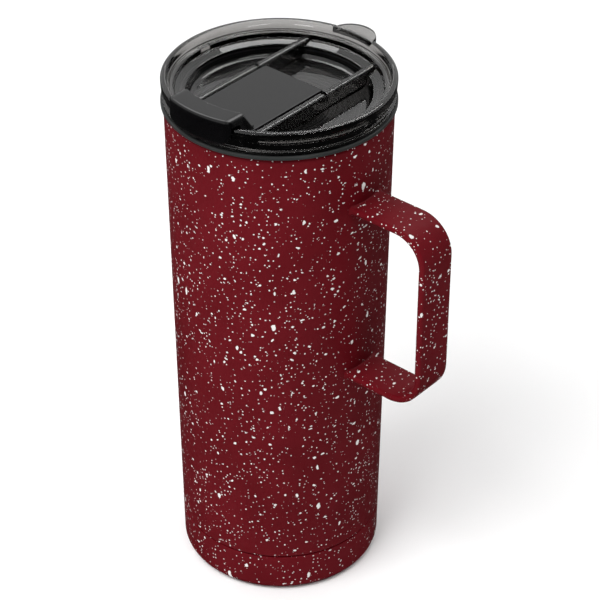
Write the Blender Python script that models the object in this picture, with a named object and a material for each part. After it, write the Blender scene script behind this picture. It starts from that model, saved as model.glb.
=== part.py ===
"""Insulated travel mug: a double-walled steel cup with a strap handle, a press-in lid and a flip closure.

Metres, +Z up. The origin is the middle of the foot pad's underside. The handle stands out along +X,
the drinking slot lies towards -Y and the lid's thumb tab towards +Y. Each object is one physical piece.
"""
import math

import bmesh
import bpy
from mathutils import Matrix, Vector

MM = 0.001
GAP = 0.3 * MM              # left between pieces that touch
ROUND_STEPS = 64            # facets round a turned piece
AXIS_TOLERANCE = 0.001 * MM

# The cup's outside: a slim cone, wider at the mouth
CUP_HEIGHT = 183.5 * MM
MOUTH_RADIUS = 38.0 * MM
FOOT_RADIUS = 35.7 * MM
RIM_ROUNDING = 1.6 * MM
FOOT_ROUNDING = 2.5 * MM
GROOVE_HEIGHT = 16.0 * MM   # fine groove between the base cup and the outer shell
GROOVE_WIDTH = 0.5 * MM

# Sheet steel walls
SHELL_WALL = 0.6 * MM
LINER_WALL = 0.5 * MM
BASE_WALL = 0.7 * MM
FOIL_WALL = 0.25 * MM
LINER_MOUTH_RADIUS = 34.6 * MM   # inside the drinking rim
LINER_FOOT_RADIUS = 32.4 * MM
LINER_FLOOR = 11.0 * MM          # height of the cup's inside bottom
LINER_FLOOR_ROUNDING = 8.0 * MM

# Base
PAD_RADIUS = 26.5 * MM
PAD_THICKNESS = 1.2 * MM
PAD_PROUD = 0.5 * MM             # the pad stands this far below the base cup
END_PLATE_HEIGHT = 4.6 * MM      # underside of the end plate that closes the vacuum space
PUMP_HOLE_RADIUS = 1.5 * MM

# Handle: a flat strap bent into a D
STRAP_WIDTH = 15.3 * MM
STRAP_THICKNESS = 2.5 * MM
STRAP_REACH = 66.1 * MM          # from the cup's axis to the middle of the upright leg
STRAP_TOP = 159.2 * MM           # middle of the upper leg
STRAP_BOTTOM = 92.4 * MM         # middle of the lower leg
STRAP_TOP_BEND = 11.0 * MM       # bend radii, to the middle of the strap
STRAP_BOTTOM_BEND = 12.0 * MM
WELD_WIDTH = 0.5 * MM

# Lid cover
LID_TOP = CUP_HEIGHT + 9.9 * MM
LID_RADIUS = 38.8 * MM
LID_INNER_RADIUS = 36.9 * MM
RIM_BOTTOM = CUP_HEIGHT + 5.6 * MM
WAIST_RADIUS = 37.5 * MM
FLANGE_RADIUS = 38.4 * MM
FLANGE_TOP = CUP_HEIGHT + 3.1 * MM
FLANGE_BOTTOM = CUP_HEIGHT + 1.9 * MM
LEDGE_HEIGHT = CUP_HEIGHT + 4.6 * MM
LEDGE_FALL = 0.8 * MM
STEP_RADIUS = 34.2 * MM          # the ledge ends at a low step below the rim wall
STEP_HEIGHT = CUP_HEIGHT + 6.5 * MM
CHANNEL_INNER_RADIUS = 35.1 * MM # channel behind the waist, which the insert's collar fills
CHANNEL_OUTER_RADIUS = 36.5 * MM
CHANNEL_TOP = CUP_HEIGHT + 6.0 * MM
STUD_WIDTH = 4.8 * MM            # clear studs that break the channel
STUD_BOTTOM = CUP_HEIGHT + 3.2 * MM
STUD_TURNS = (-94.0, -27.0, 27.0, 94.0)   # degrees from the front, towards the handle side
BOWL_RADIUS = 30.7 * MM
BOWL_FLOOR = CUP_HEIGHT - 0.2 * MM
COVER_WALL = 1.5 * MM
RAIL_INNER = 13.0 * MM
RAIL_OUTER = 15.9 * MM
RAIL_TOP = CUP_HEIGHT + 5.6 * MM
SPOUT_FLOOR = CUP_HEIGHT + 1.9 * MM
TAB_HALF_WIDTH = 8.4 * MM
TAB_REACH = 45.0 * MM
TAB_THICKNESS = 2.2 * MM

# Drinking slot and vent, through the cover and the insert
SLOT_CENTRE_Y = -25.0 * MM
SLOT_LENGTH = 14.0 * MM
SLOT_WIDTH = 5.0 * MM
VENT_CENTRE_Y = -6.0 * MM
VENT_RADIUS = 1.0 * MM

# Lid insert and its gasket
PLUG_RADIUS = 33.6 * MM
PLUG_BOTTOM = CUP_HEIGHT - 9.5 * MM
PLUG_INNER_RADIUS = 31.9 * MM
INSERT_FLOOR_BOTTOM = CUP_HEIGHT - 5.0 * MM
INSERT_FLOOR_TOP = CUP_HEIGHT - 3.4 * MM
GASKET_BOTTOM = CUP_HEIGHT - 7.1 * MM
GASKET_TOP = CUP_HEIGHT - 3.6 * MM
GASKET_RADIUS = 34.2 * MM

# Flip closure
HINGE_Y = 5.1 * MM
HINGE_HEIGHT = CUP_HEIGHT + 3.5 * MM
TRUNNION_RADIUS = 0.9 * MM
TRUNNION_END = 15.2 * MM         # from the middle plane to a trunnion's tip
KNUCKLE_RADIUS = 1.8 * MM
PLATE_HALF_WIDTH = 12.45 * MM
PLATE_REAR_Y = 7.3 * MM
PLATE_FRONT_RADIUS = 29.8 * MM
PLATE_TOP = CUP_HEIGHT + 5.3 * MM
PLATE_THICKNESS = 2.2 * MM
LIP_HALF_WIDTH = 12.8 * MM
LIP_END_ROUNDING = 1.9 * MM      # measured across the lip
LIP_END_DEPTH = 1.1 * MM
LIP_TOP = CUP_HEIGHT + 13.4 * MM
LIP_BOTTOM = CUP_HEIGHT + 4.2 * MM
LIP_RADIUS = 41.0 * MM
LIP_WALL = 1.6 * MM
LIP_CORNER = 4.5 * MM

FINISHES = {
    # name: (red, green, blue, alpha), metallic, roughness
    "powder_coat": ((0.115, 0.010, 0.014, 1.0), 0.0, 0.50),
    "steel": ((0.62, 0.61, 0.59, 1.0), 1.0, 0.30),
    "foil": ((0.80, 0.80, 0.82, 1.0), 1.0, 0.20),
    "getter_metal": ((0.30, 0.29, 0.28, 1.0), 1.0, 0.55),
    "smoke_clear": ((0.10, 0.105, 0.11, 0.35), 0.0, 0.05),
    "dark_plastic": ((0.020, 0.021, 0.023, 1.0), 0.0, 0.30),
    "black_plastic": ((0.035, 0.035, 0.037, 1.0), 0.0, 0.35),
    "silicone": ((0.030, 0.030, 0.032, 1.0), 0.0, 0.65),
}


def remove_scene_objects():
    for thing in list(bpy.data.objects):
        bpy.data.objects.remove(thing, do_unlink=True)


def finish(name):
    """The Principled material called name, made the first time it is asked for."""
    material = bpy.data.materials.get(name)
    if material is None:
        colour, metallic, roughness = FINISHES[name]
        material = bpy.data.materials.new(name)
        material.use_nodes = True
        shader = material.node_tree.nodes["Principled BSDF"]
        shader.inputs["Base Color"].default_value = colour
        shader.inputs["Metallic"].default_value = metallic
        shader.inputs["Roughness"].default_value = roughness
        shader.inputs["Alpha"].default_value = colour[3]
    return material


# ---------------------------------------------------------------- outlines

def rounded(corners, steps=2):
    """A closed outline through corners (u, v, radius), each turned into an arc of its own radius."""
    outline = []
    for index, (u, v, radius) in enumerate(corners):
        corner = Vector((u, v))
        if radius <= 0.0:
            outline.append((u, v))
            continue
        to_last = (Vector(corners[index - 1][:2]) - corner).normalized()
        to_next = (Vector(corners[(index + 1) % len(corners)][:2]) - corner).normalized()
        half_angle = to_last.angle(to_next) / 2.0
        centre = corner + (to_last + to_next).normalized() * radius / math.sin(half_angle)
        first = corner + to_last * radius / math.tan(half_angle) - centre
        sweep = math.pi - 2.0 * half_angle
        if first.x * to_last.y - first.y * to_last.x > 0.0:
            sweep = -sweep
        for step in range(steps + 1):
            turn = Matrix.Rotation(sweep * step / steps, 2)
            point = centre + turn @ first
            outline.append((point.x, point.y))
    return outline


def racetrack(length, width, steps=6):
    """A slot's outline round the origin, its length along X."""
    radius = width / 2.0
    straight = length / 2.0 - radius
    outline = []
    for side in (1.0, -1.0):
        for step in range(steps + 1):
            angle = -math.pi / 2.0 + math.pi * step / steps
            outline.append((side * (straight + radius * math.cos(angle)), side * radius * math.sin(angle)))
    return outline


def circle(radius, steps=24):
    return [(radius * math.cos(math.tau * step / steps), radius * math.sin(math.tau * step / steps))
            for step in range(steps)]


def cup_radius(height):
    """Outside radius of the cup's cone at a height."""
    return FOOT_RADIUS + (MOUTH_RADIUS - FOOT_RADIUS) * height / CUP_HEIGHT


def liner_radius(height):
    """Inside radius of the liner's cone at a height."""
    return LINER_FOOT_RADIUS + (LINER_MOUTH_RADIUS - LINER_FOOT_RADIUS) * height / CUP_HEIGHT


# ---------------------------------------------------------------- solids

def add_object(name, builder, finish_name):
    """Turn a bmesh into an object whose curved faces are shaded smooth."""
    bmesh.ops.recalc_face_normals(builder, faces=builder.faces)
    mesh = bpy.data.meshes.new(name)
    builder.to_mesh(mesh)
    builder.free()
    mesh.shade_smooth()
    mesh.set_sharp_from_angle(angle=math.radians(35.0))
    mesh.materials.append(finish(finish_name))
    thing = bpy.data.objects.new(name, mesh)
    bpy.context.collection.objects.link(thing)
    return thing


def lathe(name, outline, finish_name, steps=ROUND_STEPS):
    """Turn a closed outline of (radius, height) points once round the Z axis."""
    builder = bmesh.new()
    rings = []
    for radius, height in outline:
        if radius < AXIS_TOLERANCE:
            rings.append([builder.verts.new((0.0, 0.0, height))])
            continue
        rings.append([builder.verts.new((radius * math.cos(math.tau * step / steps),
                                         radius * math.sin(math.tau * step / steps), height))
                      for step in range(steps)])
    for ring, following in zip(rings, rings[1:] + rings[:1]):
        if len(ring) == 1 and len(following) == 1:
            continue
        for step in range(steps):
            beside = (step + 1) % steps
            corners = (ring[step % len(ring)], ring[beside % len(ring)],
                       following[beside % len(following)], following[step % len(following)])
            builder.faces.new(list(dict.fromkeys(corners)))
    return add_object(name, builder, finish_name)


def loft(name, sections, finish_name):
    """Join sections, equal lists of points in space, with walls and close the two ends."""
    builder = bmesh.new()
    rows = [[builder.verts.new(point) for point in section] for section in sections]
    count = len(rows[0])
    for row, following in zip(rows, rows[1:]):
        for index in range(count):
            beside = (index + 1) % count
            builder.faces.new((row[index], row[beside], following[beside], following[index]))
    builder.faces.new(rows[0])
    builder.faces.new(rows[-1])
    return add_object(name, builder, finish_name)


def upright_prism(name, outline, low, high, finish_name, centre=(0.0, 0.0)):
    """An outline in the XY plane, shifted to its centre and raised from low to high."""
    sections = [[(u + centre[0], v + centre[1], height) for u, v in outline] for height in (low, high)]
    return loft(name, sections, finish_name)


def cross_prism(name, outline, left, right, finish_name):
    """An outline in the YZ plane, drawn out along X from left to right."""
    sections = [[(place, u, v) for u, v in outline] for place in (left, right)]
    return loft(name, sections, finish_name)


def box(name, low, high, finish_name):
    outline = [(low[0], low[1]), (high[0], low[1]), (high[0], high[1]), (low[0], high[1])]
    return upright_prism(name, outline, low[2], high[2], finish_name)


def combine(target, tool, operation):
    """Join, cut or intersect the target with a tool, which stays hidden."""
    modifier = target.modifiers.new(tool.name, "BOOLEAN")
    modifier.operation = operation
    modifier.object = tool
    modifier.solver = "EXACT"
    tool.hide_render = True
    tool.display_type = "WIRE"


def hang_on(parent, *things):
    """Parent things to an empty and give each its origin there, with their shapes left in place."""
    for thing in things:
        thing.data.transform(Matrix.Translation(-parent.matrix_world.translation))
        thing.parent = parent


def joint_empty(name, place, parent=None):
    empty = bpy.data.objects.new(name, None)
    empty.location = Vector(place)
    if parent is not None:
        empty.parent = parent
        empty.location = Vector(place) - parent.matrix_world.translation
    bpy.context.collection.objects.link(empty)
    bpy.context.view_layer.update()
    return empty


# ---------------------------------------------------------------- the cup

def make_outer_shell():
    """Outer wall: rolled in at the mouth, stepped in below the groove where the base cup slides on."""
    bottom = END_PLATE_HEIGHT - 0.4 * MM
    step_in = BASE_WALL + GAP
    groove_top = GROOVE_HEIGHT + GROOVE_WIDTH / 2.0
    seam_radius = LINER_MOUTH_RADIUS + 1.7 * MM
    outline = rounded([
        (cup_radius(bottom) - step_in, bottom, 0.0),
        (cup_radius(groove_top) - step_in, groove_top, 0.0),
        (cup_radius(groove_top), groove_top, 0.3 * MM),
        (MOUTH_RADIUS, CUP_HEIGHT, RIM_ROUNDING),
        (seam_radius, CUP_HEIGHT, 0.0),
        (seam_radius, CUP_HEIGHT - SHELL_WALL, 0.0),
        (MOUTH_RADIUS - SHELL_WALL, CUP_HEIGHT - SHELL_WALL, RIM_ROUNDING - SHELL_WALL),
        (cup_radius(groove_top + SHELL_WALL) - SHELL_WALL, groove_top + SHELL_WALL, 0.0),
        (cup_radius(groove_top) - step_in - SHELL_WALL, groove_top + SHELL_WALL, 0.0),
        (cup_radius(bottom) - step_in - SHELL_WALL, bottom, 0.0),
    ])
    return lathe("outer_shell", outline, "powder_coat")


def make_inner_liner():
    """Inner cup with the bare drinking rim, which meets the outer shell at the mouth seam."""
    seam_radius = LINER_MOUTH_RADIUS + 1.7 * MM - GAP
    floor_outside = LINER_FLOOR - LINER_WALL
    shoulder = CUP_HEIGHT - 2.2 * MM
    outline = rounded([
        (0.0, LINER_FLOOR, 0.0),
        (liner_radius(LINER_FLOOR), LINER_FLOOR, LINER_FLOOR_ROUNDING),
        (LINER_MOUTH_RADIUS, CUP_HEIGHT, 1.1 * MM),
        (seam_radius, CUP_HEIGHT, 0.0),
        (seam_radius, CUP_HEIGHT - LINER_WALL, 0.0),
        (liner_radius(shoulder) + LINER_WALL, shoulder, 0.0),
        (liner_radius(floor_outside) + LINER_WALL, floor_outside, LINER_FLOOR_ROUNDING + LINER_WALL),
        (0.0, floor_outside, 0.0),
    ], steps=3)
    return lathe("inner_liner", outline, "steel")


def make_foil_wrap():
    """Foil sleeve round the liner, clear of both walls."""
    low = LINER_FLOOR + LINER_FLOOR_ROUNDING + 3.0 * MM
    high = CUP_HEIGHT - 10.0 * MM
    clear = LINER_WALL + GAP
    outline = [
        (liner_radius(low) + clear, low),
        (liner_radius(high) + clear, high),
        (liner_radius(high) + clear + FOIL_WALL, high),
        (liner_radius(low) + clear + FOIL_WALL, low),
    ]
    return lathe("foil_wrap", outline, "foil")


def make_outer_bottom():
    """Dished end plate inside the shell's foot, with a pump-down hole in its middle dimple."""
    bottom = END_PLATE_HEIGHT
    rise = 1.2 * MM
    edge = cup_radius(bottom) - BASE_WALL - SHELL_WALL - 2.0 * GAP
    outline = [
        (PUMP_HOLE_RADIUS, bottom + 0.5 * MM),
        (5.0 * MM, bottom + 0.5 * MM),
        (7.5 * MM, bottom + rise),
        (edge - 6.0 * MM, bottom + rise),
        (edge - 4.0 * MM, bottom),
        (edge, bottom),
        (edge, bottom + 4.0 * MM),
        (edge - SHELL_WALL, bottom + 4.0 * MM),
        (edge - SHELL_WALL, bottom + SHELL_WALL),
        (edge - 4.0 * MM, bottom + SHELL_WALL),
        (edge - 6.0 * MM, bottom + rise + SHELL_WALL),
        (7.5 * MM, bottom + rise + SHELL_WALL),
        (5.0 * MM, bottom + 0.5 * MM + SHELL_WALL),
        (PUMP_HOLE_RADIUS, bottom + 0.5 * MM + SHELL_WALL),
    ]
    return lathe("outer_bottom", outline, "steel")


def make_vacuum_seal():
    """Bead that plugs the pump-down hole from below."""
    top = END_PLATE_HEIGHT + 0.5 * MM + SHELL_WALL
    stem = PUMP_HOLE_RADIUS - GAP
    head_top = END_PLATE_HEIGHT + 0.5 * MM - GAP
    outline = rounded([
        (0.0, head_top - 1.1 * MM, 0.0),
        (3.0 * MM, head_top - 1.1 * MM, 0.8 * MM),
        (3.0 * MM, head_top, 0.0),
        (stem, head_top, 0.0),
        (stem, top, 0.0),
        (0.0, top, 0.0),
    ])
    return lathe("vacuum_seal", outline, "getter_metal", steps=24)


def make_getter():
    """Flat getter capsule on the end plate's vacuum side, beside the pump-down hole."""
    low = END_PLATE_HEIGHT + 1.2 * MM + SHELL_WALL + GAP
    outline = rounded([
        (0.0, low, 0.0),
        (4.0 * MM, low, 0.0),
        (4.0 * MM, low + 2.0 * MM, 0.4 * MM),
        (0.0, low + 2.0 * MM, 0.0),
    ])
    getter = lathe("getter", outline, "getter_metal", steps=24)
    getter.data.transform(Matrix.Translation((17.0 * MM, 0.0, 0.0)))
    return getter


def make_base_cup():
    """Outer bottom cup over the shell's necked foot, with a recess below for the pad."""
    low = PAD_PROUD
    recess_top = PAD_THICKNESS + GAP
    top = GROOVE_HEIGHT - GROOVE_WIDTH / 2.0
    outline = rounded([
        (0.0, recess_top, 0.0),
        (PAD_RADIUS + GAP, recess_top, 0.0),
        (PAD_RADIUS + GAP, low, 0.0),
        (cup_radius(low), low, FOOT_ROUNDING),
        (cup_radius(top), top, 0.3 * MM),
        (cup_radius(top) - BASE_WALL, top, 0.0),
        (cup_radius(low) - BASE_WALL, recess_top + BASE_WALL, FOOT_ROUNDING - BASE_WALL),
        (0.0, recess_top + BASE_WALL, 0.0),
    ], steps=4)
    return lathe("base_cup", outline, "powder_coat")


def make_foot_pad():
    outline = rounded([
        (0.0, 0.0, 0.0),
        (PAD_RADIUS, 0.0, 0.4 * MM),
        (PAD_RADIUS, PAD_THICKNESS, 0.0),
        (0.0, PAD_THICKNESS, 0.0),
    ])
    return lathe("foot_pad", outline, "silicone")


# ---------------------------------------------------------------- the handle

def strap_path(bend_steps=7):
    """Middle line of the strap in the XZ plane, from the cup's wall out, down and back."""
    start = MOUTH_RADIUS - 4.0 * MM
    path = [((start, STRAP_TOP), (0.0, 1.0))]
    bends = ((STRAP_REACH - STRAP_TOP_BEND, STRAP_TOP - STRAP_TOP_BEND, STRAP_TOP_BEND, math.pi / 2.0),
             (STRAP_REACH - STRAP_BOTTOM_BEND, STRAP_BOTTOM + STRAP_BOTTOM_BEND, STRAP_BOTTOM_BEND, 0.0))
    for centre_x, centre_z, radius, first in bends:
        for step in range(bend_steps + 1):
            angle = first - math.pi / 2.0 * step / bend_steps
            out = (math.cos(angle), math.sin(angle))
            path.append(((centre_x + radius * out[0], centre_z + radius * out[1]), out))
    path.append(((start, STRAP_BOTTOM), (0.0, -1.0)))
    return path


def strap_section(width, thickness, rounding, steps=2):
    """Strap section as (across, out) points round its middle."""
    half_width = width / 2.0
    half_thickness = thickness / 2.0
    return rounded([
        (-half_width, -half_thickness, rounding),
        (half_width, -half_thickness, rounding),
        (half_width, half_thickness, rounding),
        (-half_width, half_thickness, rounding),
    ], steps)


def wall_cutter(name):
    """The cup's cone grown by the gap, which shapes what meets the wall."""
    outline = [(0.0, 0.0), (FOOT_RADIUS + GAP, 0.0), (MOUTH_RADIUS + GAP, CUP_HEIGHT), (0.0, CUP_HEIGHT)]
    return lathe(name, outline, "powder_coat")


def make_handle_strap():
    section = strap_section(STRAP_WIDTH, STRAP_THICKNESS, 0.9 * MM)
    sections = []
    for (x, z), (out_x, out_z) in strap_path():
        sections.append([(x + out * out_x, across, z + out * out_z) for across, out in section])
    strap = loft("handle_strap", sections, "powder_coat")
    combine(strap, wall_cutter("strap_end_cutter"), "DIFFERENCE")
    return strap


def make_handle_weld(name, height):
    """Weld bead: a collar round the strap's end, tapering outwards, shaped to the wall."""
    wall = cup_radius(height)
    inner = strap_section(STRAP_WIDTH + 2.0 * GAP, STRAP_THICKNESS + 2.0 * GAP, 1.0 * MM)
    sections = []
    for place, growth in ((wall - 3.0 * MM, WELD_WIDTH), (wall + 0.5 * MM, WELD_WIDTH),
                          (wall + GAP + WELD_WIDTH, 0.25 * MM)):
        grown = 2.0 * (GAP + growth)
        outline = strap_section(STRAP_WIDTH + grown, STRAP_THICKNESS + grown, 1.0 * MM + growth)
        sections.append([(place, across, height + out) for across, out in outline])
    bead = loft(name, sections, "powder_coat")
    opening = loft(name + "_opening", [[(place, across, height + out) for across, out in inner]
                                       for place in (wall - 6.0 * MM, wall + 6.0 * MM)], "powder_coat")
    combine(bead, opening, "DIFFERENCE")
    combine(bead, wall_cutter(name + "_wall_cutter"), "DIFFERENCE")
    return bead


# ---------------------------------------------------------------- the lid

def hinge_bar(name, radius, half_length, finish_name):
    """A round bar along the closure's hinge axis."""
    outline = [(u + HINGE_Y, v + HINGE_HEIGHT) for u, v in circle(radius, 20)]
    return cross_prism(name, outline, -half_length, half_length, finish_name)


def slot_cutter(name, low, high, growth=0.0):
    outline = racetrack(SLOT_LENGTH + growth, SLOT_WIDTH + growth)
    return upright_prism(name, outline, low, high, "smoke_clear", (0.0, SLOT_CENTRE_Y))


def vent_cutter(name, low, high, growth=0.0):
    return upright_prism(name, circle(VENT_RADIUS + growth, 12), low, high, "smoke_clear", (0.0, VENT_CENTRE_Y))


def radial_block(name, turn, inner, outer, width, low, high):
    """An upright block whose middle line points away from the axis, turned from the front."""
    outline = ((inner, -width / 2.0), (outer, -width / 2.0), (outer, width / 2.0), (inner, width / 2.0))
    block = upright_prism(name, outline, low, high, "smoke_clear")
    block.data.transform(Matrix.Rotation(math.radians(turn - 90.0), 4, "Z"))
    return block


def make_studs():
    """Clear studs that reach across the channel behind the waist."""
    return [radial_block("stud_%d" % index, turn, CHANNEL_INNER_RADIUS - 0.15 * MM,
                         CHANNEL_OUTER_RADIUS + 0.2 * MM, STUD_WIDTH, STUD_BOTTOM, CHANNEL_TOP + 0.3 * MM)
            for index, turn in enumerate(STUD_TURNS)]


def make_rails():
    """Two upright rails along the bowl, which run on over the ledge to its step at the rear."""
    in_wall = BOWL_RADIUS + 0.4 * MM
    on_ledge = STEP_RADIUS + 0.4 * MM
    low = BOWL_FLOOR - 0.7 * MM
    step_up = LEDGE_HEIGHT - LEDGE_FALL - 0.3 * MM
    rails = []
    for side, name in ((-1.0, "left_rail"), (1.0, "right_rail")):
        sections = []
        for across in (RAIL_INNER, RAIL_OUTER):
            wall_y = math.sqrt(in_wall ** 2 - across ** 2)
            ledge_y = math.sqrt(on_ledge ** 2 - across ** 2)
            outline = ((-wall_y, low), (wall_y, low), (wall_y, step_up),
                       (ledge_y, step_up), (ledge_y, RAIL_TOP), (-wall_y, RAIL_TOP))
            sections.append([(side * across, y, height) for y, height in outline])
        rails.append(loft(name, sections, "smoke_clear"))
    return rails


def make_tab():
    """Thin thumb tab, half an oval beyond the rim."""
    top = LID_TOP - 1.0 * MM
    inside_y = 37.0 * MM
    reach = TAB_REACH - inside_y
    outline = []
    steps = 16
    for step in range(steps + 1):
        angle = math.pi * step / steps
        outline.append((TAB_HALF_WIDTH * math.cos(angle), inside_y + reach * math.sin(angle)))
    return upright_prism("thumb_tab", outline, top - TAB_THICKNESS, top, "smoke_clear")


def make_spout_block():
    """Raised floor between the rails' front ends, which the drinking slot passes through."""
    low = BOWL_FLOOR - 0.7 * MM
    return box("spout_block", (-RAIL_INNER - 0.5 * MM, -27.4 * MM, low),
               (RAIL_INNER + 0.5 * MM, -20.0 * MM, SPOUT_FLOOR), "smoke_clear")


def make_lid_cover():
    """Clear cover: rim, waist, flange, ledge and bowl in one thin wall, with rails, studs and a tab."""
    under_ledge = LEDGE_HEIGHT - COVER_WALL
    outline = rounded([
        (0.0, BOWL_FLOOR, 0.0),
        (29.9 * MM, BOWL_FLOOR, 2.0 * MM),
        (BOWL_RADIUS, LEDGE_HEIGHT - LEDGE_FALL, 0.4 * MM),
        (STEP_RADIUS, LEDGE_HEIGHT, 0.0),
        (STEP_RADIUS + 0.3 * MM, STEP_HEIGHT, 0.3 * MM),
        (35.6 * MM, STEP_HEIGHT + 0.2 * MM, 0.0),
        (LID_INNER_RADIUS, LID_TOP, 0.6 * MM),
        (LID_RADIUS, LID_TOP, 1.0 * MM),
        (LID_RADIUS - 0.3 * MM, RIM_BOTTOM + 0.2 * MM, 0.5 * MM),
        (WAIST_RADIUS, RIM_BOTTOM, 0.0),
        (WAIST_RADIUS, FLANGE_TOP + 0.2 * MM, 0.0),
        (FLANGE_RADIUS, FLANGE_TOP - 0.1 * MM, 0.3 * MM),
        (FLANGE_RADIUS, FLANGE_BOTTOM, 0.0),
        (CHANNEL_OUTER_RADIUS, FLANGE_BOTTOM, 0.0),
        (CHANNEL_OUTER_RADIUS, CHANNEL_TOP, 0.0),
        (CHANNEL_INNER_RADIUS, CHANNEL_TOP, 0.0),
        (CHANNEL_INNER_RADIUS, under_ledge, 0.0),
        (32.1 * MM, under_ledge, 0.0),
        (31.4 * MM, BOWL_FLOOR - COVER_WALL, 2.5 * MM),
        (0.0, BOWL_FLOOR - COVER_WALL, 0.0),
    ])
    cover = lathe("lid_cover", outline, "smoke_clear")
    additions = make_rails() + make_studs() + [make_tab(), make_spout_block()]
    boss = vent_cutter("vent_boss", BOWL_FLOOR - 0.7 * MM, SPOUT_FLOOR, 1.6 * MM)
    additions.append(boss)
    for addition in additions:
        combine(cover, addition, "UNION")
    low = BOWL_FLOOR - 4.0 * MM
    high = SPOUT_FLOOR + 1.0 * MM
    socket_end = TRUNNION_END + GAP
    entry = TRUNNION_RADIUS - 0.1 * MM
    cutters = [
        slot_cutter("cover_slot_cutter", low, high),
        vent_cutter("cover_vent_cutter", low, high),
        hinge_bar("trunnion_socket_cutter", TRUNNION_RADIUS + GAP, socket_end, "smoke_clear"),
        box("trunnion_entry_cutter", (-socket_end, HINGE_Y - entry, HINGE_HEIGHT),
            (socket_end, HINGE_Y + entry, RAIL_TOP + 1.0 * MM), "smoke_clear"),
    ]
    for cutter in cutters:
        combine(cover, cutter, "DIFFERENCE")
    return [cover] + additions + cutters


def make_lid_insert():
    """Dark plug part: collar in the cover's channel, flange on the mug's rim, skirt with a gasket groove."""
    flange_top = FLANGE_BOTTOM - GAP
    flange_bottom = CUP_HEIGHT + GAP
    flange_radius = LID_RADIUS + 0.1 * MM
    shelf_top = LEDGE_HEIGHT - COVER_WALL - GAP
    collar_inner = CHANNEL_INNER_RADIUS + GAP
    collar_outer = CHANNEL_OUTER_RADIUS - GAP
    groove_radius = PLUG_RADIUS - 0.7 * MM
    outline = rounded([
        (0.0, INSERT_FLOOR_BOTTOM, 0.0),
        (PLUG_INNER_RADIUS, INSERT_FLOOR_BOTTOM, 0.0),
        (PLUG_INNER_RADIUS, PLUG_BOTTOM, 0.0),
        (PLUG_RADIUS - 0.2 * MM, PLUG_BOTTOM, 0.5 * MM),
        (PLUG_RADIUS, GASKET_BOTTOM - GAP, 0.0),
        (groove_radius, GASKET_BOTTOM - GAP, 0.0),
        (groove_radius, GASKET_TOP + GAP, 0.0),
        (PLUG_RADIUS, GASKET_TOP + GAP, 0.0),
        (PLUG_RADIUS, flange_bottom, 0.0),
        (flange_radius, flange_bottom, 0.3 * MM),
        (flange_radius, flange_top, 0.3 * MM),
        (collar_outer, flange_top, 0.0),
        (collar_outer, CHANNEL_TOP - GAP, 0.0),
        (collar_inner, CHANNEL_TOP - GAP, 0.0),
        (collar_inner, shelf_top, 0.0),
        (32.4 * MM, shelf_top, 0.0),
        (PLUG_INNER_RADIUS, INSERT_FLOOR_TOP, 0.0),
        (0.0, INSERT_FLOOR_TOP, 0.0),
    ])
    insert = lathe("lid_insert", outline, "dark_plastic")
    under_cover = BOWL_FLOOR - COVER_WALL - GAP
    chutes = [slot_cutter("slot_chute", INSERT_FLOOR_TOP - 0.5 * MM, under_cover, 3.0 * MM),
              vent_cutter("vent_chute", INSERT_FLOOR_TOP - 0.5 * MM, under_cover, 1.5 * MM)]
    low = INSERT_FLOOR_BOTTOM - 1.0 * MM
    high = under_cover + 1.0 * MM
    cutters = [slot_cutter("insert_slot_cutter", low, high), vent_cutter("insert_vent_cutter", low, high)]
    for index, turn in enumerate(STUD_TURNS):
        cutters.append(radial_block("stud_notch_%d" % index, turn, collar_inner - 0.15 * MM, FLANGE_RADIUS,
                                    STUD_WIDTH + 2.0 * GAP, STUD_BOTTOM - GAP, CHANNEL_TOP + 0.3 * MM))
    for chute in chutes:
        combine(insert, chute, "UNION")
    for cutter in cutters:
        combine(insert, cutter, "DIFFERENCE")
    return [insert] + chutes + cutters


def make_lid_gasket():
    """Silicone ring in the plug's groove, with two sealing ribs."""
    inner = PLUG_RADIUS - 0.7 * MM + GAP
    valley = GASKET_RADIUS - 0.6 * MM
    height = GASKET_TOP - GASKET_BOTTOM
    outline = [
        (inner, GASKET_BOTTOM),
        (valley, GASKET_BOTTOM),
        (GASKET_RADIUS, GASKET_BOTTOM + 0.25 * height),
        (valley, GASKET_BOTTOM + 0.5 * height),
        (GASKET_RADIUS, GASKET_BOTTOM + 0.75 * height),
        (valley, GASKET_TOP),
        (inner, GASKET_TOP),
    ]
    return lathe("lid_gasket", outline, "silicone")


# ---------------------------------------------------------------- the flip closure

def lip_bottom_at(x):
    """Height of the lip's lower edge, which rises round the corners of its tongue shape."""
    past = abs(x) - (LIP_HALF_WIDTH - LIP_CORNER)
    if past <= 0.0:
        return LIP_BOTTOM
    return LIP_BOTTOM + LIP_CORNER - math.sqrt(max(LIP_CORNER ** 2 - past ** 2, 0.0))


def lip_section(x, inset):
    """Hook section at one place across the lip: up from the plate, over the rim and down outside it."""
    foot = RAIL_TOP + GAP
    bottom = lip_bottom_at(x)
    over_rim = LID_TOP + 0.6 * MM
    flap_inside = LIP_RADIUS - LIP_WALL
    corners = [
        (28.8 * MM + inset, foot, 0.0),
        (33.3 * MM + inset, LIP_TOP - 0.1 * MM - inset, 0.9 * MM),
        (LIP_RADIUS - 0.2 * MM - inset, LIP_TOP - inset, 1.0 * MM),
        (LIP_RADIUS - inset, bottom + 1.2 * MM, 0.0),
        (LIP_RADIUS - 0.7 * MM - 0.6 * inset, bottom, 0.0),
        (flap_inside, bottom, 0.0),
        (flap_inside, over_rim, 0.5 * MM),
        (36.0 * MM, over_rim, 0.4 * MM),
        (33.7 * MM, foot, 0.0),
    ]
    return [(x, -math.sqrt(radius ** 2 - x ** 2), height) for radius, height in rounded(corners)]


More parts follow.
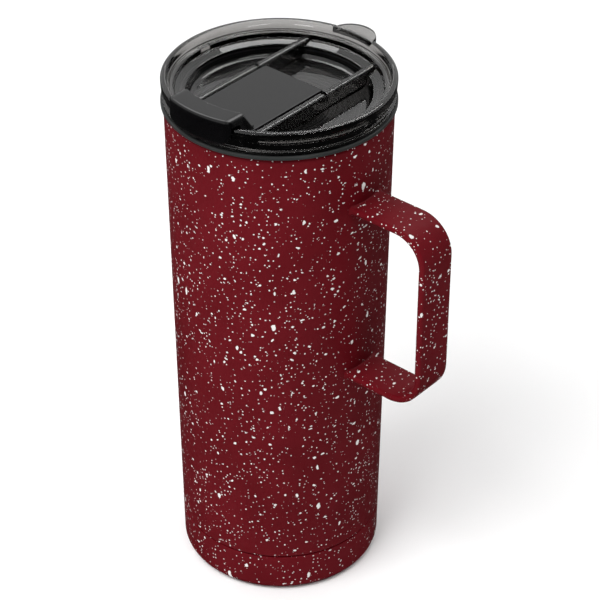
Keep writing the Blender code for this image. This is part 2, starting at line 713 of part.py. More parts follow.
def lip_stations(end_steps=3, middle_steps=10):
    """Places across the lip, each with how far its rounded end draws the section in."""
    inner = LIP_HALF_WIDTH - LIP_END_ROUNDING
    end = []
    for step in range(end_steps + 1):
        turn = math.pi / 2.0 * step / end_steps
        end.append((inner + LIP_END_ROUNDING * math.cos(turn), LIP_END_DEPTH * (1.0 - math.sin(turn))))
    middle = [(inner * (2.0 * step / middle_steps - 1.0), 0.0) for step in range(1, middle_steps)]
    return [(-x, inset) for x, inset in end] + middle + end[::-1]


def make_lip():
    """Hook over the rim, its two ends rounded off."""
    return loft("lip", [lip_section(x, inset) for x, inset in lip_stations()], "black_plastic")


def make_plate():
    """Flat plate from the hinge to the lip, its front edge following the bowl's wall."""
    bottom = PLATE_TOP - PLATE_THICKNESS
    steps = 8
    sections = []
    for step in range(steps + 1):
        x = PLATE_HALF_WIDTH * (2.0 * step / steps - 1.0)
        front_y = -math.sqrt(PLATE_FRONT_RADIUS ** 2 - x ** 2)
        outline = rounded([
            (PLATE_REAR_Y, bottom, 0.8 * MM),
            (PLATE_REAR_Y, PLATE_TOP, 0.25 * MM),
            (front_y, PLATE_TOP, 0.0),
            (front_y, bottom, 0.3 * MM),
        ])
        sections.append([(x, u, v) for u, v in outline])
    return loft("flip_cover", sections, "black_plastic")


def make_neck():
    """Block that joins the plate to the lip above the ledge."""
    sections = []
    steps = 8
    half_width = PLATE_HALF_WIDTH - 0.3 * MM
    for step in range(steps + 1):
        x = half_width * (2.0 * step / steps - 1.0)
        rear = -math.sqrt((28.9 * MM) ** 2 - x ** 2)
        front = -math.sqrt((29.7 * MM) ** 2 - x ** 2)
        low = PLATE_TOP - 1.0 * MM
        high = RAIL_TOP + 1.3 * MM
        sections.append([(x, rear, low), (x, rear, high), (x, front, high), (x, front, low)])
    return loft("lip_neck", sections, "black_plastic")


def make_flip_cover():
    """Plate and lip in one piece, with a knuckle that carries a trunnion at each end."""
    plate = make_plate()
    additions = [
        hinge_bar("knuckle", KNUCKLE_RADIUS, PLATE_HALF_WIDTH - 0.2 * MM, "black_plastic"),
        hinge_bar("trunnions", TRUNNION_RADIUS, TRUNNION_END, "black_plastic"),
        make_lip(),
        make_neck(),
    ]
    for addition in additions:
        combine(plate, addition, "UNION")
    return [plate] + additions


def make_spout_plug():
    """Silicone plug: a flat flange under the plate and a tapered stem in the slot."""
    flange_top = PLATE_TOP - PLATE_THICKNESS - GAP
    flange_bottom = SPOUT_FLOOR + GAP
    stem_bottom = BOWL_FLOOR + 0.6 * MM
    stem = racetrack(SLOT_LENGTH - 0.7 * MM, SLOT_WIDTH - 0.7 * MM)
    tip = racetrack(SLOT_LENGTH - 1.3 * MM, SLOT_WIDTH - 1.3 * MM)
    flange = racetrack(SLOT_LENGTH + 2.6 * MM, SLOT_WIDTH + 2.6 * MM)
    levels = ((tip, stem_bottom), (stem, stem_bottom + 0.6 * MM), (stem, flange_bottom),
              (flange, flange_bottom), (flange, flange_top))
    sections = [[(u, v + SLOT_CENTRE_Y, height) for u, v in outline] for outline, height in levels]
    return loft("spout_plug", sections, "silicone")


def make_vent_plug():
    """Silicone button under the plate that covers the vent."""
    low = SPOUT_FLOOR + GAP
    high = PLATE_TOP - PLATE_THICKNESS - GAP
    return upright_prism("vent_plug", circle(2.4 * MM, 20), low, high, "silicone", (0.0, VENT_CENTRE_Y))


# ---------------------------------------------------------------- assembly

def build_cup():
    make_outer_shell()
    make_inner_liner()
    make_foil_wrap()
    make_outer_bottom()
    make_vacuum_seal()
    make_getter()
    make_base_cup()
    make_foot_pad()
    make_handle_strap()
    make_handle_weld("handle_upper_weld", STRAP_TOP)
    make_handle_weld("handle_lower_weld", STRAP_BOTTOM)


def build_lid():
    lid_lift = joint_empty("lid_lift_axis", (0.0, 0.0, CUP_HEIGHT))
    closure_hinge = joint_empty("closure_hinge_axis", (0.0, HINGE_Y, HINGE_HEIGHT), lid_lift)
    hang_on(lid_lift, *make_lid_cover(), *make_lid_insert(), make_lid_gasket())
    hang_on(closure_hinge, *make_flip_cover(), make_spout_plug(), make_vent_plug())


remove_scene_objects()
build_cup()
build_lid()
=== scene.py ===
"""Looks of the insulated travel mug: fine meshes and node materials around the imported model.

Metres, +Z up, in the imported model's own frame. The handle is along +X and the drinking lip along -Y.
"""
import math

import bmesh
import bpy
from mathutils import Matrix, Vector


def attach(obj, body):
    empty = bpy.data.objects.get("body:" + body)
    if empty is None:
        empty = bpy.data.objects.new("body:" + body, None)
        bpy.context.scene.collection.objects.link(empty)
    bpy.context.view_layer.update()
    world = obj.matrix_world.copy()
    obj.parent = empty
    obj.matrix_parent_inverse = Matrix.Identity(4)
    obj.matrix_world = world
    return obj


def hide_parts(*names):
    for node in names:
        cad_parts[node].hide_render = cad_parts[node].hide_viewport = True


MM = 0.001
AXIS_TOLERANCE = 0.001 * MM
ROUND_STEPS = 192
SHARP_DEGREES = 35.0

# The cup
CUP_HEIGHT = 183.5 * MM
MOUTH_RADIUS = 38.0 * MM
FOOT_RADIUS = 35.7 * MM
RIM_ROUNDING = 1.6 * MM
FOOT_ROUNDING = 2.5 * MM
GROOVE_HEIGHT = 16.0 * MM
GROOVE_WIDTH = 0.5 * MM
GROOVE_STEP = 1.0 * MM
SHELL_WALL = 0.6 * MM
LINER_WALL = 0.5 * MM
BASE_WALL = 0.7 * MM
LINER_MOUTH_RADIUS = 34.6 * MM
LINER_FOOT_RADIUS = 32.4 * MM
LINER_FLOOR = 11.0 * MM
LINER_FLOOR_ROUNDING = 8.0 * MM
SEAM_RADIUS = LINER_MOUTH_RADIUS + 1.7 * MM
PAD_RADIUS = 26.5 * MM
PAD_THICKNESS = 1.2 * MM
PAD_PROUD = 0.5 * MM

# The handle
STRAP_WIDTH = 15.3 * MM
STRAP_THICKNESS = 2.5 * MM
STRAP_ROUNDING = 1.0 * MM
STRAP_REACH = 66.1 * MM
STRAP_TOP = 159.2 * MM
STRAP_BOTTOM = 92.4 * MM
STRAP_TOP_BEND = 11.0 * MM
STRAP_BOTTOM_BEND = 12.0 * MM
WELD_REACH = 3.5 * MM
# Distance out from the wall and swell of the strap, in millimetres
WELD_PROFILE = ((-0.35, 0.85), (0.05, 0.62), (0.35, 0.34), (0.75, 0.12), (1.3, 0.0), (3.0, 0.0))

# The lid
LID_TOP = CUP_HEIGHT + 9.9 * MM
LID_RADIUS = 38.8 * MM
LID_INNER_RADIUS = 36.9 * MM
WALL_FOOT_RADIUS = 35.6 * MM
WALL_BOW = 0.15 * MM
RIM_BOTTOM = CUP_HEIGHT + 5.6 * MM
WAIST_RADIUS = 37.5 * MM
FLANGE_RADIUS = 38.4 * MM
FLANGE_TOP = CUP_HEIGHT + 3.1 * MM
FLANGE_BOTTOM = CUP_HEIGHT + 1.9 * MM
LEDGE_HEIGHT = CUP_HEIGHT + 4.6 * MM
LEDGE_FALL = 0.8 * MM
STEP_RADIUS = 34.2 * MM
STEP_HEIGHT = CUP_HEIGHT + 6.5 * MM
CHANNEL_INNER_RADIUS = 35.1 * MM
CHANNEL_OUTER_RADIUS = 36.5 * MM
CHANNEL_TOP = CUP_HEIGHT + 6.0 * MM
STUD_WIDTH = 4.8 * MM
STUD_BOTTOM = CUP_HEIGHT + 3.2 * MM
STUD_TURNS = (-94.0, -27.0, 27.0, 94.0)
BOWL_RADIUS = 30.7 * MM
BOWL_FLOOR = CUP_HEIGHT - 0.2 * MM
COVER_WALL = 1.5 * MM
ADDITION_BOTTOM = BOWL_FLOOR - 0.7 * MM
RAIL_INNER = 13.0 * MM
RAIL_OUTER = 15.9 * MM
RAIL_TOP = CUP_HEIGHT + 5.6 * MM
RAIL_ROUNDING = 1.2 * MM
SPOUT_FLOOR = CUP_HEIGHT + 1.9 * MM
TAB_HALF_WIDTH = 8.4 * MM
TAB_REACH = 45.0 * MM
TAB_THICKNESS = 2.2 * MM
SLOT_CENTRE_Y = -25.0 * MM
SLOT_LENGTH = 14.0 * MM
SLOT_WIDTH = 5.0 * MM
VENT_CENTRE_Y = -6.0 * MM
VENT_RADIUS = 1.0 * MM
PLUG_RADIUS = 33.6 * MM
PLUG_BOTTOM = CUP_HEIGHT - 9.5 * MM
PLUG_INNER_RADIUS = 31.9 * MM
INSERT_FLOOR_BOTTOM = CUP_HEIGHT - 5.0 * MM
INSERT_FLOOR_TOP = CUP_HEIGHT - 3.4 * MM
RIDGE_OUTER_RADIUS = 29.4 * MM
RIDGE_PITCH = 2.0 * MM
RIDGE_HEIGHT = 0.4 * MM
RIDGE_COUNT = 6
GASKET_BOTTOM = CUP_HEIGHT - 7.1 * MM
GASKET_TOP = CUP_HEIGHT - 3.6 * MM
GASKET_RADIUS = 34.2 * MM
GASKET_GROOVE_RADIUS = PLUG_RADIUS - 0.7 * MM
GAP = 0.3 * MM

# The flip closure
HINGE_Y = 5.1 * MM
HINGE_HEIGHT = CUP_HEIGHT + 3.5 * MM
TRUNNION_RADIUS = 0.9 * MM
TRUNNION_END = 15.2 * MM
KNUCKLE_RADIUS = 1.8 * MM
PLATE_HALF_WIDTH = 12.45 * MM
PLATE_REAR_Y = 7.3 * MM
PLATE_FRONT_RADIUS = 29.8 * MM
PLATE_TOP = CUP_HEIGHT + 5.3 * MM
PLATE_THICKNESS = 2.2 * MM
LIP_HALF_WIDTH = 12.8 * MM
LIP_END_ROUNDING = 1.9 * MM
LIP_END_DEPTH = 1.1 * MM
LIP_TOP = CUP_HEIGHT + 13.4 * MM
LIP_BOTTOM = CUP_HEIGHT + 4.2 * MM
LIP_RADIUS = 41.0 * MM
LIP_WALL = 1.6 * MM
LIP_CORNER = 4.5 * MM
KNUCKLE_HALF_WIDTH = PLATE_HALF_WIDTH - 0.35 * MM

# The view: the camera looks at a point on the mug's axis, then is turned and tilted a little
CAMERA_DISTANCE = 768.5 * MM
CAMERA_ELEVATION = math.radians(35.21)
CAMERA_AZIMUTH = math.radians(41.12)
CAMERA_AIM_HEIGHT = 103.2 * MM
CAMERA_PAN = math.radians(0.516)
CAMERA_ROLL = math.radians(-0.229)
CAMERA_LENS = 132.46
CAMERA_SENSOR = 36.0

# The studio
FLOOR_REACH = 6.0
SKY_BRIGHTNESS = 1.0
ZENITH_BRIGHTNESS = 0.85
GROUND_BRIGHTNESS = 0.03
SCREEN_BRIGHTNESS = 0.03
SCREEN_AZIMUTH = math.radians(78.0)


# ---------------------------------------------------------------- outlines

def rounded(corners, steps=6):
    """A closed outline through corners (u, v, radius), each turned into an arc of its own radius."""
    outline = []
    for index, (u, v, radius) in enumerate(corners):
        corner = Vector((u, v))
        if radius <= 0.0:
            outline.append((u, v))
            continue
        to_last = (Vector(corners[index - 1][:2]) - corner).normalized()
        to_next = (Vector(corners[(index + 1) % len(corners)][:2]) - corner).normalized()
        half_angle = to_last.angle(to_next) / 2.0
        centre = corner + (to_last + to_next).normalized() * radius / math.sin(half_angle)
        first = corner + to_last * radius / math.tan(half_angle) - centre
        sweep = math.pi - 2.0 * half_angle
        if first.x * to_last.y - first.y * to_last.x > 0.0:
            sweep = -sweep
        for step in range(steps + 1):
            point = centre + Matrix.Rotation(sweep * step / steps, 2) @ first
            outline.append((point.x, point.y))
    return outline


def racetrack(length, width, steps=16):
    radius = width / 2.0
    straight = length / 2.0 - radius
    outline = []
    for side in (1.0, -1.0):
        for step in range(steps + 1):
            angle = -math.pi / 2.0 + math.pi * step / steps
            outline.append((side * (straight + radius * math.cos(angle)), side * radius * math.sin(angle)))
    return outline


def circle(radius, steps=48):
    return [(radius * math.cos(math.tau * step / steps), radius * math.sin(math.tau * step / steps))
            for step in range(steps)]


def cup_radius(height):
    return FOOT_RADIUS + (MOUTH_RADIUS - FOOT_RADIUS) * height / CUP_HEIGHT


def liner_radius(height):
    return LINER_FOOT_RADIUS + (LINER_MOUTH_RADIUS - LINER_FOOT_RADIUS) * height / CUP_HEIGHT


# ---------------------------------------------------------------- meshes

def add_object(name, builder):
    bmesh.ops.recalc_face_normals(builder, faces=builder.faces)
    mesh = bpy.data.meshes.new(name)
    builder.to_mesh(mesh)
    builder.free()
    mesh.shade_smooth()
    mesh.set_sharp_from_angle(angle=math.radians(SHARP_DEGREES))
    thing = bpy.data.objects.new(name, mesh)
    bpy.context.collection.objects.link(thing)
    return thing


def lathe(name, outline, steps=ROUND_STEPS):
    """Turn a closed outline of (radius, height) points once round the Z axis."""
    builder = bmesh.new()
    rings = []
    for radius, height in outline:
        if radius < AXIS_TOLERANCE:
            rings.append([builder.verts.new((0.0, 0.0, height))])
            continue
        rings.append([builder.verts.new((radius * math.cos(math.tau * step / steps),
                                         radius * math.sin(math.tau * step / steps), height))
                      for step in range(steps)])
    for ring, following in zip(rings, rings[1:] + rings[:1]):
        if len(ring) == 1 and len(following) == 1:
            continue
        for step in range(steps):
            beside = (step + 1) % steps
            corners = (ring[step % len(ring)], ring[beside % len(ring)],
                       following[beside % len(following)], following[step % len(following)])
            builder.faces.new(list(dict.fromkeys(corners)))
    return add_object(name, builder)


def loft(name, sections):
    """Join sections, equal lists of points in space, with walls and close the two ends."""
    builder = bmesh.new()
    rows = [[builder.verts.new(point) for point in section] for section in sections]
    count = len(rows[0])
    for row, following in zip(rows, rows[1:]):
        for index in range(count):
            beside = (index + 1) % count
            builder.faces.new((row[index], row[beside], following[beside], following[index]))
    builder.faces.new(rows[0])
    builder.faces.new(rows[-1])
    return add_object(name, builder)


def upright_prism(name, outline, low, high, centre=(0.0, 0.0)):
    sections = [[(u + centre[0], v + centre[1], height) for u, v in outline] for height in (low, high)]
    return loft(name, sections)


def hinge_bar(name, radius, half_length):
    outline = [(u + HINGE_Y, v + HINGE_HEIGHT) for u, v in circle(radius)]
    return loft(name, [[(place, u, v) for u, v in outline] for place in (-half_length, half_length)])


def settle(thing):
    """Apply a thing's modifiers to its mesh."""
    graph = bpy.context.evaluated_depsgraph_get()
    mesh = bpy.data.meshes.new_from_object(thing.evaluated_get(graph))
    thing.modifiers.clear()
    thing.data = mesh
    mesh.name = thing.name


def combine(target, tools, operation):
    """Join, cut or intersect the target with tools, which are then removed."""
    for tool in tools:
        modifier = target.modifiers.new(tool.name, "BOOLEAN")
        modifier.operation = operation
        modifier.object = tool
        modifier.solver = "EXACT"
    settle(target)
    for tool in tools:
        bpy.data.objects.remove(tool, do_unlink=True)
    target.data.shade_smooth()
    target.data.set_sharp_from_angle(angle=math.radians(SHARP_DEGREES))


def even_normals(thing):
    """Let large faces lead the shading, so that cuts don't dent the flat and turned surfaces beside them."""
    modifier = thing.modifiers.new("even_normals", "WEIGHTED_NORMAL")
    modifier.keep_sharp = True
    modifier.weight = 80
    settle(thing)


# ---------------------------------------------------------------- material nodes

class Nodes:
    """A material's node tree, with short calls for the nodes that these materials use."""

    def __init__(self, name):
        self.material = bpy.data.materials.new(name)
        self.material.use_nodes = True
        self.tree = self.material.node_tree
        self.shader = self.tree.nodes["Principled BSDF"]
        self.output = self.tree.nodes["Material Output"]

    def add(self, kind, **settings):
        node = self.tree.nodes.new(kind)
        for key, value in settings.items():
            setattr(node, key, value)
        return node

    def feed(self, socket, value):
        """Put a number, a colour or another node's output into a socket."""
        if isinstance(value, bpy.types.NodeSocket):
            self.tree.links.new(value, socket)
        else:
            socket.default_value = value

    def place(self):
        return self.add("ShaderNodeTexCoord").outputs["Object"]

    def math(self, operation, first, second=0.0, clamp=False):
        node = self.add("ShaderNodeMath", operation=operation, use_clamp=clamp)
        self.feed(node.inputs[0], first)
        self.feed(node.inputs[1], second)
        return node.outputs[0]

    def vector(self, operation, first, second=(0.0, 0.0, 0.0), scale=1.0):
        node = self.add("ShaderNodeVectorMath", operation=operation)
        self.feed(node.inputs[0], first)
        self.feed(node.inputs[1], second)
        if operation == "SCALE":
            node.inputs["Scale"].default_value = scale
        return node.outputs["Value"] if operation == "LENGTH" else node.outputs["Vector"]

    def noise(self, place, scale, detail=2.0, roughness=0.5, colour=False):
        node = self.add("ShaderNodeTexNoise")
        self.feed(node.inputs["Vector"], place)
        node.inputs["Scale"].default_value = scale
        node.inputs["Detail"].default_value = detail
        node.inputs["Roughness"].default_value = roughness
        return node.outputs["Color"] if colour else node.outputs["Fac"]

    def spread(self, value, low, high, new_low=0.0, new_high=1.0, smooth=False):
        node = self.add("ShaderNodeMapRange", interpolation_type="SMOOTHSTEP" if smooth else "LINEAR")
        self.feed(node.inputs["Value"], value)
        self.feed(node.inputs["From Min"], low)
        self.feed(node.inputs["From Max"], high)
        node.inputs["To Min"].default_value = new_low
        node.inputs["To Max"].default_value = new_high
        return node.outputs["Result"]

    def mix(self, share, first, second):
        node = self.add("ShaderNodeMix", data_type="RGBA")
        self.feed(node.inputs[0], share)
        self.feed(node.inputs[6], first)
        self.feed(node.inputs[7], second)
        return node.outputs[2]

    def bump(self, height, distance, strength=1.0, under=None):
        node = self.add("ShaderNodeBump")
        self.feed(node.inputs["Height"], height)
        node.inputs["Distance"].default_value = distance
        node.inputs["Strength"].default_value = strength
        if under is not None:
            self.feed(node.inputs["Normal"], under)
        return node.outputs["Normal"]


def wander(nodes, place, scale, amount):
    """Push a place about by noise, so that round spots turn into ragged ones."""
    push = nodes.vector("SUBTRACT", nodes.noise(place, scale, 2.0, 0.6, colour=True), (0.5, 0.5, 0.5))
    return nodes.vector("ADD", place, nodes.vector("SCALE", push, scale=amount))


def flecks(nodes, place, pitch, largest, presence, fineness):
    """Scattered spots, at most one to a cell of the pitch, as a 0 to 1 mask."""
    cells = nodes.add("ShaderNodeTexVoronoi")
    nodes.feed(cells.inputs["Vector"], place)
    cells.inputs["Scale"].default_value = 1.0 / pitch
    chance = nodes.add("ShaderNodeSeparateColor")
    nodes.feed(chance.inputs["Color"], cells.outputs["Color"])
    size = nodes.math("POWER", chance.outputs["Red"], fineness)
    size = nodes.math("MULTIPLY", size, largest / pitch)
    there = nodes.math("LESS_THAN", chance.outputs["Green"], presence)
    size = nodes.math("MULTIPLY", size, there)
    beyond = nodes.math("SUBTRACT", cells.outputs["Distance"], size)
    edge = 0.06 * MM / pitch
    mask = nodes.spread(beyond, -edge, edge, 1.0, 0.0, smooth=True)
    return nodes.math("MULTIPLY", mask, there)


def splats(nodes, place, pitch, rarity):
    """Ragged clumps of enamel: the peaks of a rough noise. Returns a 0 to 1 mask."""
    return nodes.spread(nodes.noise(place, 1.0 / pitch, 3.0, 0.62), rarity, rarity + 0.012, smooth=True)


def stretch(nodes, place, turn, scale):
    """Turn a place and squeeze its axes, so that round spots turn into long ones."""
    mapping = nodes.add("ShaderNodeMapping")
    nodes.feed(mapping.inputs["Vector"], place)
    mapping.inputs["Rotation"].default_value = turn
    mapping.inputs["Scale"].default_value = scale
    return mapping.outputs["Vector"]


def powder_coat():
    """Satin dark red powder coat, splattered with off-white enamel flecks and a faint fine spray."""
    nodes = Nodes("powder_coat")
    place = nodes.place()
    drift = nodes.noise(place, 45.0, 3.0)
    deep = (0.100, 0.0028, 0.0060, 1.0)
    bright = (0.120, 0.0040, 0.0082, 1.0)
    red = nodes.mix(nodes.spread(drift, 0.35, 0.65), deep, bright)

    ragged = wander(nodes, place, 520.0, 1.5 * MM)
    slightly = wander(nodes, place, 1100.0, 0.5 * MM)
    leaning = stretch(nodes, ragged, (0.7, 0.5, 0.0), (1.0, 1.0, 0.55))
    falling = stretch(nodes, ragged, (-0.6, 0.4, 0.8), (1.0, 0.6, 1.0))
    clumps = splats(nodes, place, 2.6 * MM, 0.715)
    large = flecks(nodes, leaning, 4.4 * MM, 0.80 * MM, 0.72, 1.1)
    middle = flecks(nodes, falling, 2.5 * MM, 0.50 * MM, 0.75, 0.8)
    small = flecks(nodes, slightly, 1.30 * MM, 0.30 * MM, 0.80, 0.6)
    spots = nodes.math("MAXIMUM", nodes.math("MAXIMUM", large, middle), nodes.math("MAXIMUM", small, clumps))
    mist = flecks(nodes, slightly, 1.3 * MM, 0.24 * MM, 0.60, 0.5)

    cream = nodes.mix(nodes.noise(place, 1500.0, 1.0), (0.64, 0.62, 0.61, 1.0), (0.86, 0.85, 0.83, 1.0))
    colour = nodes.mix(nodes.math("MULTIPLY", mist, 0.16), red, (0.45, 0.18, 0.22, 1.0))
    colour = nodes.mix(spots, colour, cream)
    nodes.feed(nodes.shader.inputs["Base Color"], colour)

    gloss = nodes.spread(nodes.noise(place, 500.0, 3.0), 0.3, 0.7, 0.44, 0.56)
    gloss = nodes.math("SUBTRACT", gloss, nodes.math("MULTIPLY", spots, 0.12))
    nodes.feed(nodes.shader.inputs["Roughness"], gloss)
    nodes.shader.inputs["Specular IOR Level"].default_value = 0.06

    grain = nodes.bump(nodes.noise(place, 2600.0, 2.0), 0.012 * MM, 0.7)
    grain = nodes.bump(spots, 0.05 * MM, 0.8, grain)
    nodes.feed(nodes.shader.inputs["Normal"], grain)
    return nodes.material


def spun_steel():
    """Stainless steel with fine lines spun round the axis."""
    nodes = Nodes("spun_steel")
    place = nodes.place()
    parts = nodes.add("ShaderNodeSeparateXYZ")
    nodes.feed(parts.inputs[0], place)
    flat = nodes.vector("MULTIPLY", place, (1.0, 1.0, 0.0))
    rings = nodes.add("ShaderNodeCombineXYZ")
    nodes.feed(rings.inputs["X"], nodes.vector("LENGTH", flat))
    nodes.feed(rings.inputs["Y"], parts.outputs["Z"])
    drift = nodes.vector("SCALE", place, scale=0.02)
    lines = nodes.noise(nodes.vector("ADD", rings.outputs[0], drift), 3200.0, 3.0, 0.6)
    cloud = nodes.noise(place, 120.0, 2.0)
    grey = nodes.mix(lines, (0.50, 0.49, 0.47, 1.0), (0.68, 0.67, 0.65, 1.0))
    nodes.feed(nodes.shader.inputs["Base Color"], nodes.mix(nodes.spread(cloud, 0.3, 0.7, 0.0, 0.3), grey,
                                                            (0.56, 0.55, 0.53, 1.0)))
    nodes.shader.inputs["Metallic"].default_value = 1.0
    nodes.feed(nodes.shader.inputs["Roughness"], nodes.spread(lines, 0.3, 0.7, 0.24, 0.40))
    nodes.feed(nodes.shader.inputs["Normal"], nodes.bump(lines, 0.012 * MM, 0.6))
    return nodes.material


def dull_metal(name, light, dark, roughness):
    """Grey metal with a mottled surface."""
    nodes = Nodes(name)
    place = nodes.place()
    cloud = nodes.noise(place, 700.0, 3.0, 0.6)
    nodes.feed(nodes.shader.inputs["Base Color"], nodes.mix(nodes.spread(cloud, 0.3, 0.7), dark, light))
    nodes.shader.inputs["Metallic"].default_value = 1.0
    nodes.feed(nodes.shader.inputs["Roughness"], nodes.spread(cloud, 0.3, 0.7,
                                                              roughness - 0.08, roughness + 0.08))
    nodes.feed(nodes.shader.inputs["Normal"], nodes.bump(cloud, 0.03 * MM, 0.5))
    return nodes.material


def smoke_clear():
    """Clear moulded plastic with a grey smoke tint that deepens with thickness."""
    nodes = Nodes("smoke_clear")
    place = nodes.place()
    haze = nodes.spread(nodes.noise(place, 260.0, 3.0, 0.6), 0.35, 0.7)
    nodes.feed(nodes.shader.inputs["Base Color"], nodes.mix(haze, (0.975, 0.970, 0.965, 1.0),
                                                            (0.945, 0.940, 0.940, 1.0)))
    nodes.shader.inputs["Transmission Weight"].default_value = 1.0
    nodes.shader.inputs["IOR"].default_value = 1.54
    nodes.shader.inputs["Roughness"].default_value = 0.0
    nodes.feed(nodes.shader.inputs["Normal"], nodes.bump(nodes.noise(place, 90.0, 1.0), 0.03 * MM, 0.15))
    tint = nodes.add("ShaderNodeVolumeAbsorption")
    tint.inputs["Color"].default_value = (0.04, 0.02, 0.0, 1.0)
    tint.inputs["Density"].default_value = 470.0
    nodes.feed(nodes.output.inputs["Volume"], tint.outputs[0])
    return nodes.material


def moulded_plastic(name, dark, light, smoothest, roughest, grain_depth, specular):
    """Dark moulded plastic with a fine grain and a faint cloudiness."""
    nodes = Nodes(name)
    place = nodes.place()
    cloud = nodes.noise(place, 90.0, 3.0)
    grain = nodes.noise(place, 3000.0, 2.0)
    nodes.feed(nodes.shader.inputs["Base Color"], nodes.mix(nodes.spread(cloud, 0.3, 0.7), dark, light))
    nodes.feed(nodes.shader.inputs["Roughness"], nodes.spread(nodes.noise(place, 350.0, 3.0), 0.3, 0.7,
                                                              smoothest, roughest))
    nodes.shader.inputs["Specular IOR Level"].default_value = specular
    nodes.feed(nodes.shader.inputs["Normal"], nodes.bump(grain, grain_depth, 0.5))
    return nodes.material


def insert_plastic():
    """Black plastic under the clear cover: grey turned bowl, its lighter grey partly the insert's own dark
    grey and partly painted sheen for light reflected in the clear ledge above, polished collar, lighter grey
    and rougher flange edge.
    """
    nodes = Nodes("dark_plastic")
    place = nodes.place()
    reach = nodes.vector("LENGTH", nodes.vector("MULTIPLY", place, (1.0, 1.0, 0.0)))
    edge = nodes.spread(reach, 37.9 * MM, 38.4 * MM, smooth=True)
    cloud = nodes.spread(nodes.noise(place, 90.0, 3.0), 0.3, 0.7)
    polished = nodes.mix(cloud, (0.0035, 0.0035, 0.0040, 1.0), (0.0055, 0.0055, 0.0062, 1.0))
    # Lighter grey at the flange edge, which is also rougher.
    flange_grey = nodes.mix(cloud, (0.022, 0.024, 0.024, 1.0), (0.034, 0.036, 0.035, 1.0))
    parts = nodes.add("ShaderNodeSeparateXYZ")
    nodes.feed(parts.inputs[0], place)
    rings = nodes.add("ShaderNodeCombineXYZ")
    nodes.feed(rings.inputs["X"], reach)
    nodes.feed(rings.inputs["Y"], parts.outputs["Z"])
    lines = nodes.spread(nodes.noise(rings.outputs[0], 900.0, 3.0, 0.6), 0.4, 0.65)
    # Painted sheen: the bowl zone is lighter grey than the rest of the insert. This is partly the insert's
    # own dark grey and partly painted light for the reflections in the clear ledge above. The next line
    # limits it to the bowl.
    turned = nodes.mix(lines, (0.045, 0.046, 0.050, 1.0), (0.140, 0.144, 0.155, 1.0))
    bowl = nodes.spread(reach, 32.6 * MM, 33.0 * MM, 1.0, 0.0, smooth=True)
    colour = nodes.mix(bowl, nodes.mix(edge, polished, flange_grey), turned)
    nodes.feed(nodes.shader.inputs["Base Color"], colour)
    gloss = nodes.spread(nodes.noise(place, 350.0, 3.0), 0.3, 0.7, 0.10, 0.16)
    nodes.feed(nodes.shader.inputs["Roughness"], nodes.math("ADD", gloss, nodes.math("MULTIPLY", edge, 0.3)))
    nodes.shader.inputs["Specular IOR Level"].default_value = 0.22
    nodes.feed(nodes.shader.inputs["Normal"], nodes.bump(nodes.noise(place, 3000.0, 2.0), 0.002 * MM, 0.5))
    return nodes.material


def silicone():
    """Matt black silicone with a dusty bloom."""
    nodes = Nodes("silicone")
    place = nodes.place()
    bloom = nodes.noise(place, 240.0, 4.0, 0.6)
    dark = (0.018, 0.018, 0.020, 1.0)
    light = (0.034, 0.034, 0.036, 1.0)
    nodes.feed(nodes.shader.inputs["Base Color"], nodes.mix(nodes.spread(bloom, 0.35, 0.7), dark, light))
    nodes.feed(nodes.shader.inputs["Roughness"], nodes.spread(bloom, 0.3, 0.7, 0.55, 0.72))
    nodes.feed(nodes.shader.inputs["Normal"], nodes.bump(nodes.noise(place, 2200.0, 2.0), 0.04 * MM, 0.6))
    return nodes.material


def foil():
    """Bright crumpled foil."""
    nodes = Nodes("foil")
    place = nodes.place()
    folds = nodes.noise(place, 180.0, 4.0, 0.7)
    nodes.feed(nodes.shader.inputs["Base Color"], nodes.mix(folds, (0.72, 0.72, 0.73, 1.0),
                                                            (0.88, 0.88, 0.89, 1.0)))
    nodes.shader.inputs["Metallic"].default_value = 1.0
    nodes.feed(nodes.shader.inputs["Roughness"], nodes.spread(folds, 0.3, 0.7, 0.12, 0.28))
    nodes.feed(nodes.shader.inputs["Normal"], nodes.bump(folds, 0.3 * MM, 0.6))
    return nodes.material


# ---------------------------------------------------------------- the cup

def make_outer_shell():
    bottom = 4.2 * MM
    groove_top = GROOVE_HEIGHT + GROOVE_WIDTH / 2.0
    outline = rounded([
        (cup_radius(bottom) - GROOVE_STEP, bottom, 0.0),
        (cup_radius(groove_top) - GROOVE_STEP, groove_top, 0.0),
        (cup_radius(groove_top), groove_top, 0.3 * MM),
        (MOUTH_RADIUS, CUP_HEIGHT, RIM_ROUNDING),
        (SEAM_RADIUS, CUP_HEIGHT, 0.0),
        (SEAM_RADIUS, CUP_HEIGHT - SHELL_WALL, 0.0),
        (MOUTH_RADIUS - SHELL_WALL, CUP_HEIGHT - SHELL_WALL, RIM_ROUNDING - SHELL_WALL),
        (cup_radius(groove_top + SHELL_WALL) - SHELL_WALL, groove_top + SHELL_WALL, 0.0),
        (cup_radius(groove_top) - GROOVE_STEP - SHELL_WALL, groove_top + SHELL_WALL, 0.0),
        (cup_radius(bottom) - GROOVE_STEP - SHELL_WALL, bottom, 0.0),
    ])
    return lathe("outer_wall", outline)


def make_inner_liner():
    seam = SEAM_RADIUS - 0.05 * MM
    floor_outside = LINER_FLOOR - LINER_WALL
    shoulder = CUP_HEIGHT - 2.2 * MM
    outline = rounded([
        (0.0, LINER_FLOOR, 0.0),
        (liner_radius(LINER_FLOOR), LINER_FLOOR, LINER_FLOOR_ROUNDING),
        (LINER_MOUTH_RADIUS, CUP_HEIGHT, 1.1 * MM),
        (seam, CUP_HEIGHT, 0.0),
        (seam, CUP_HEIGHT - LINER_WALL, 0.0),
        (liner_radius(shoulder) + LINER_WALL, shoulder, 0.0),
        (liner_radius(floor_outside) + LINER_WALL, floor_outside, LINER_FLOOR_ROUNDING + LINER_WALL),
        (0.0, floor_outside, 0.0),
    ], steps=10)
    return lathe("drinking_liner", outline)


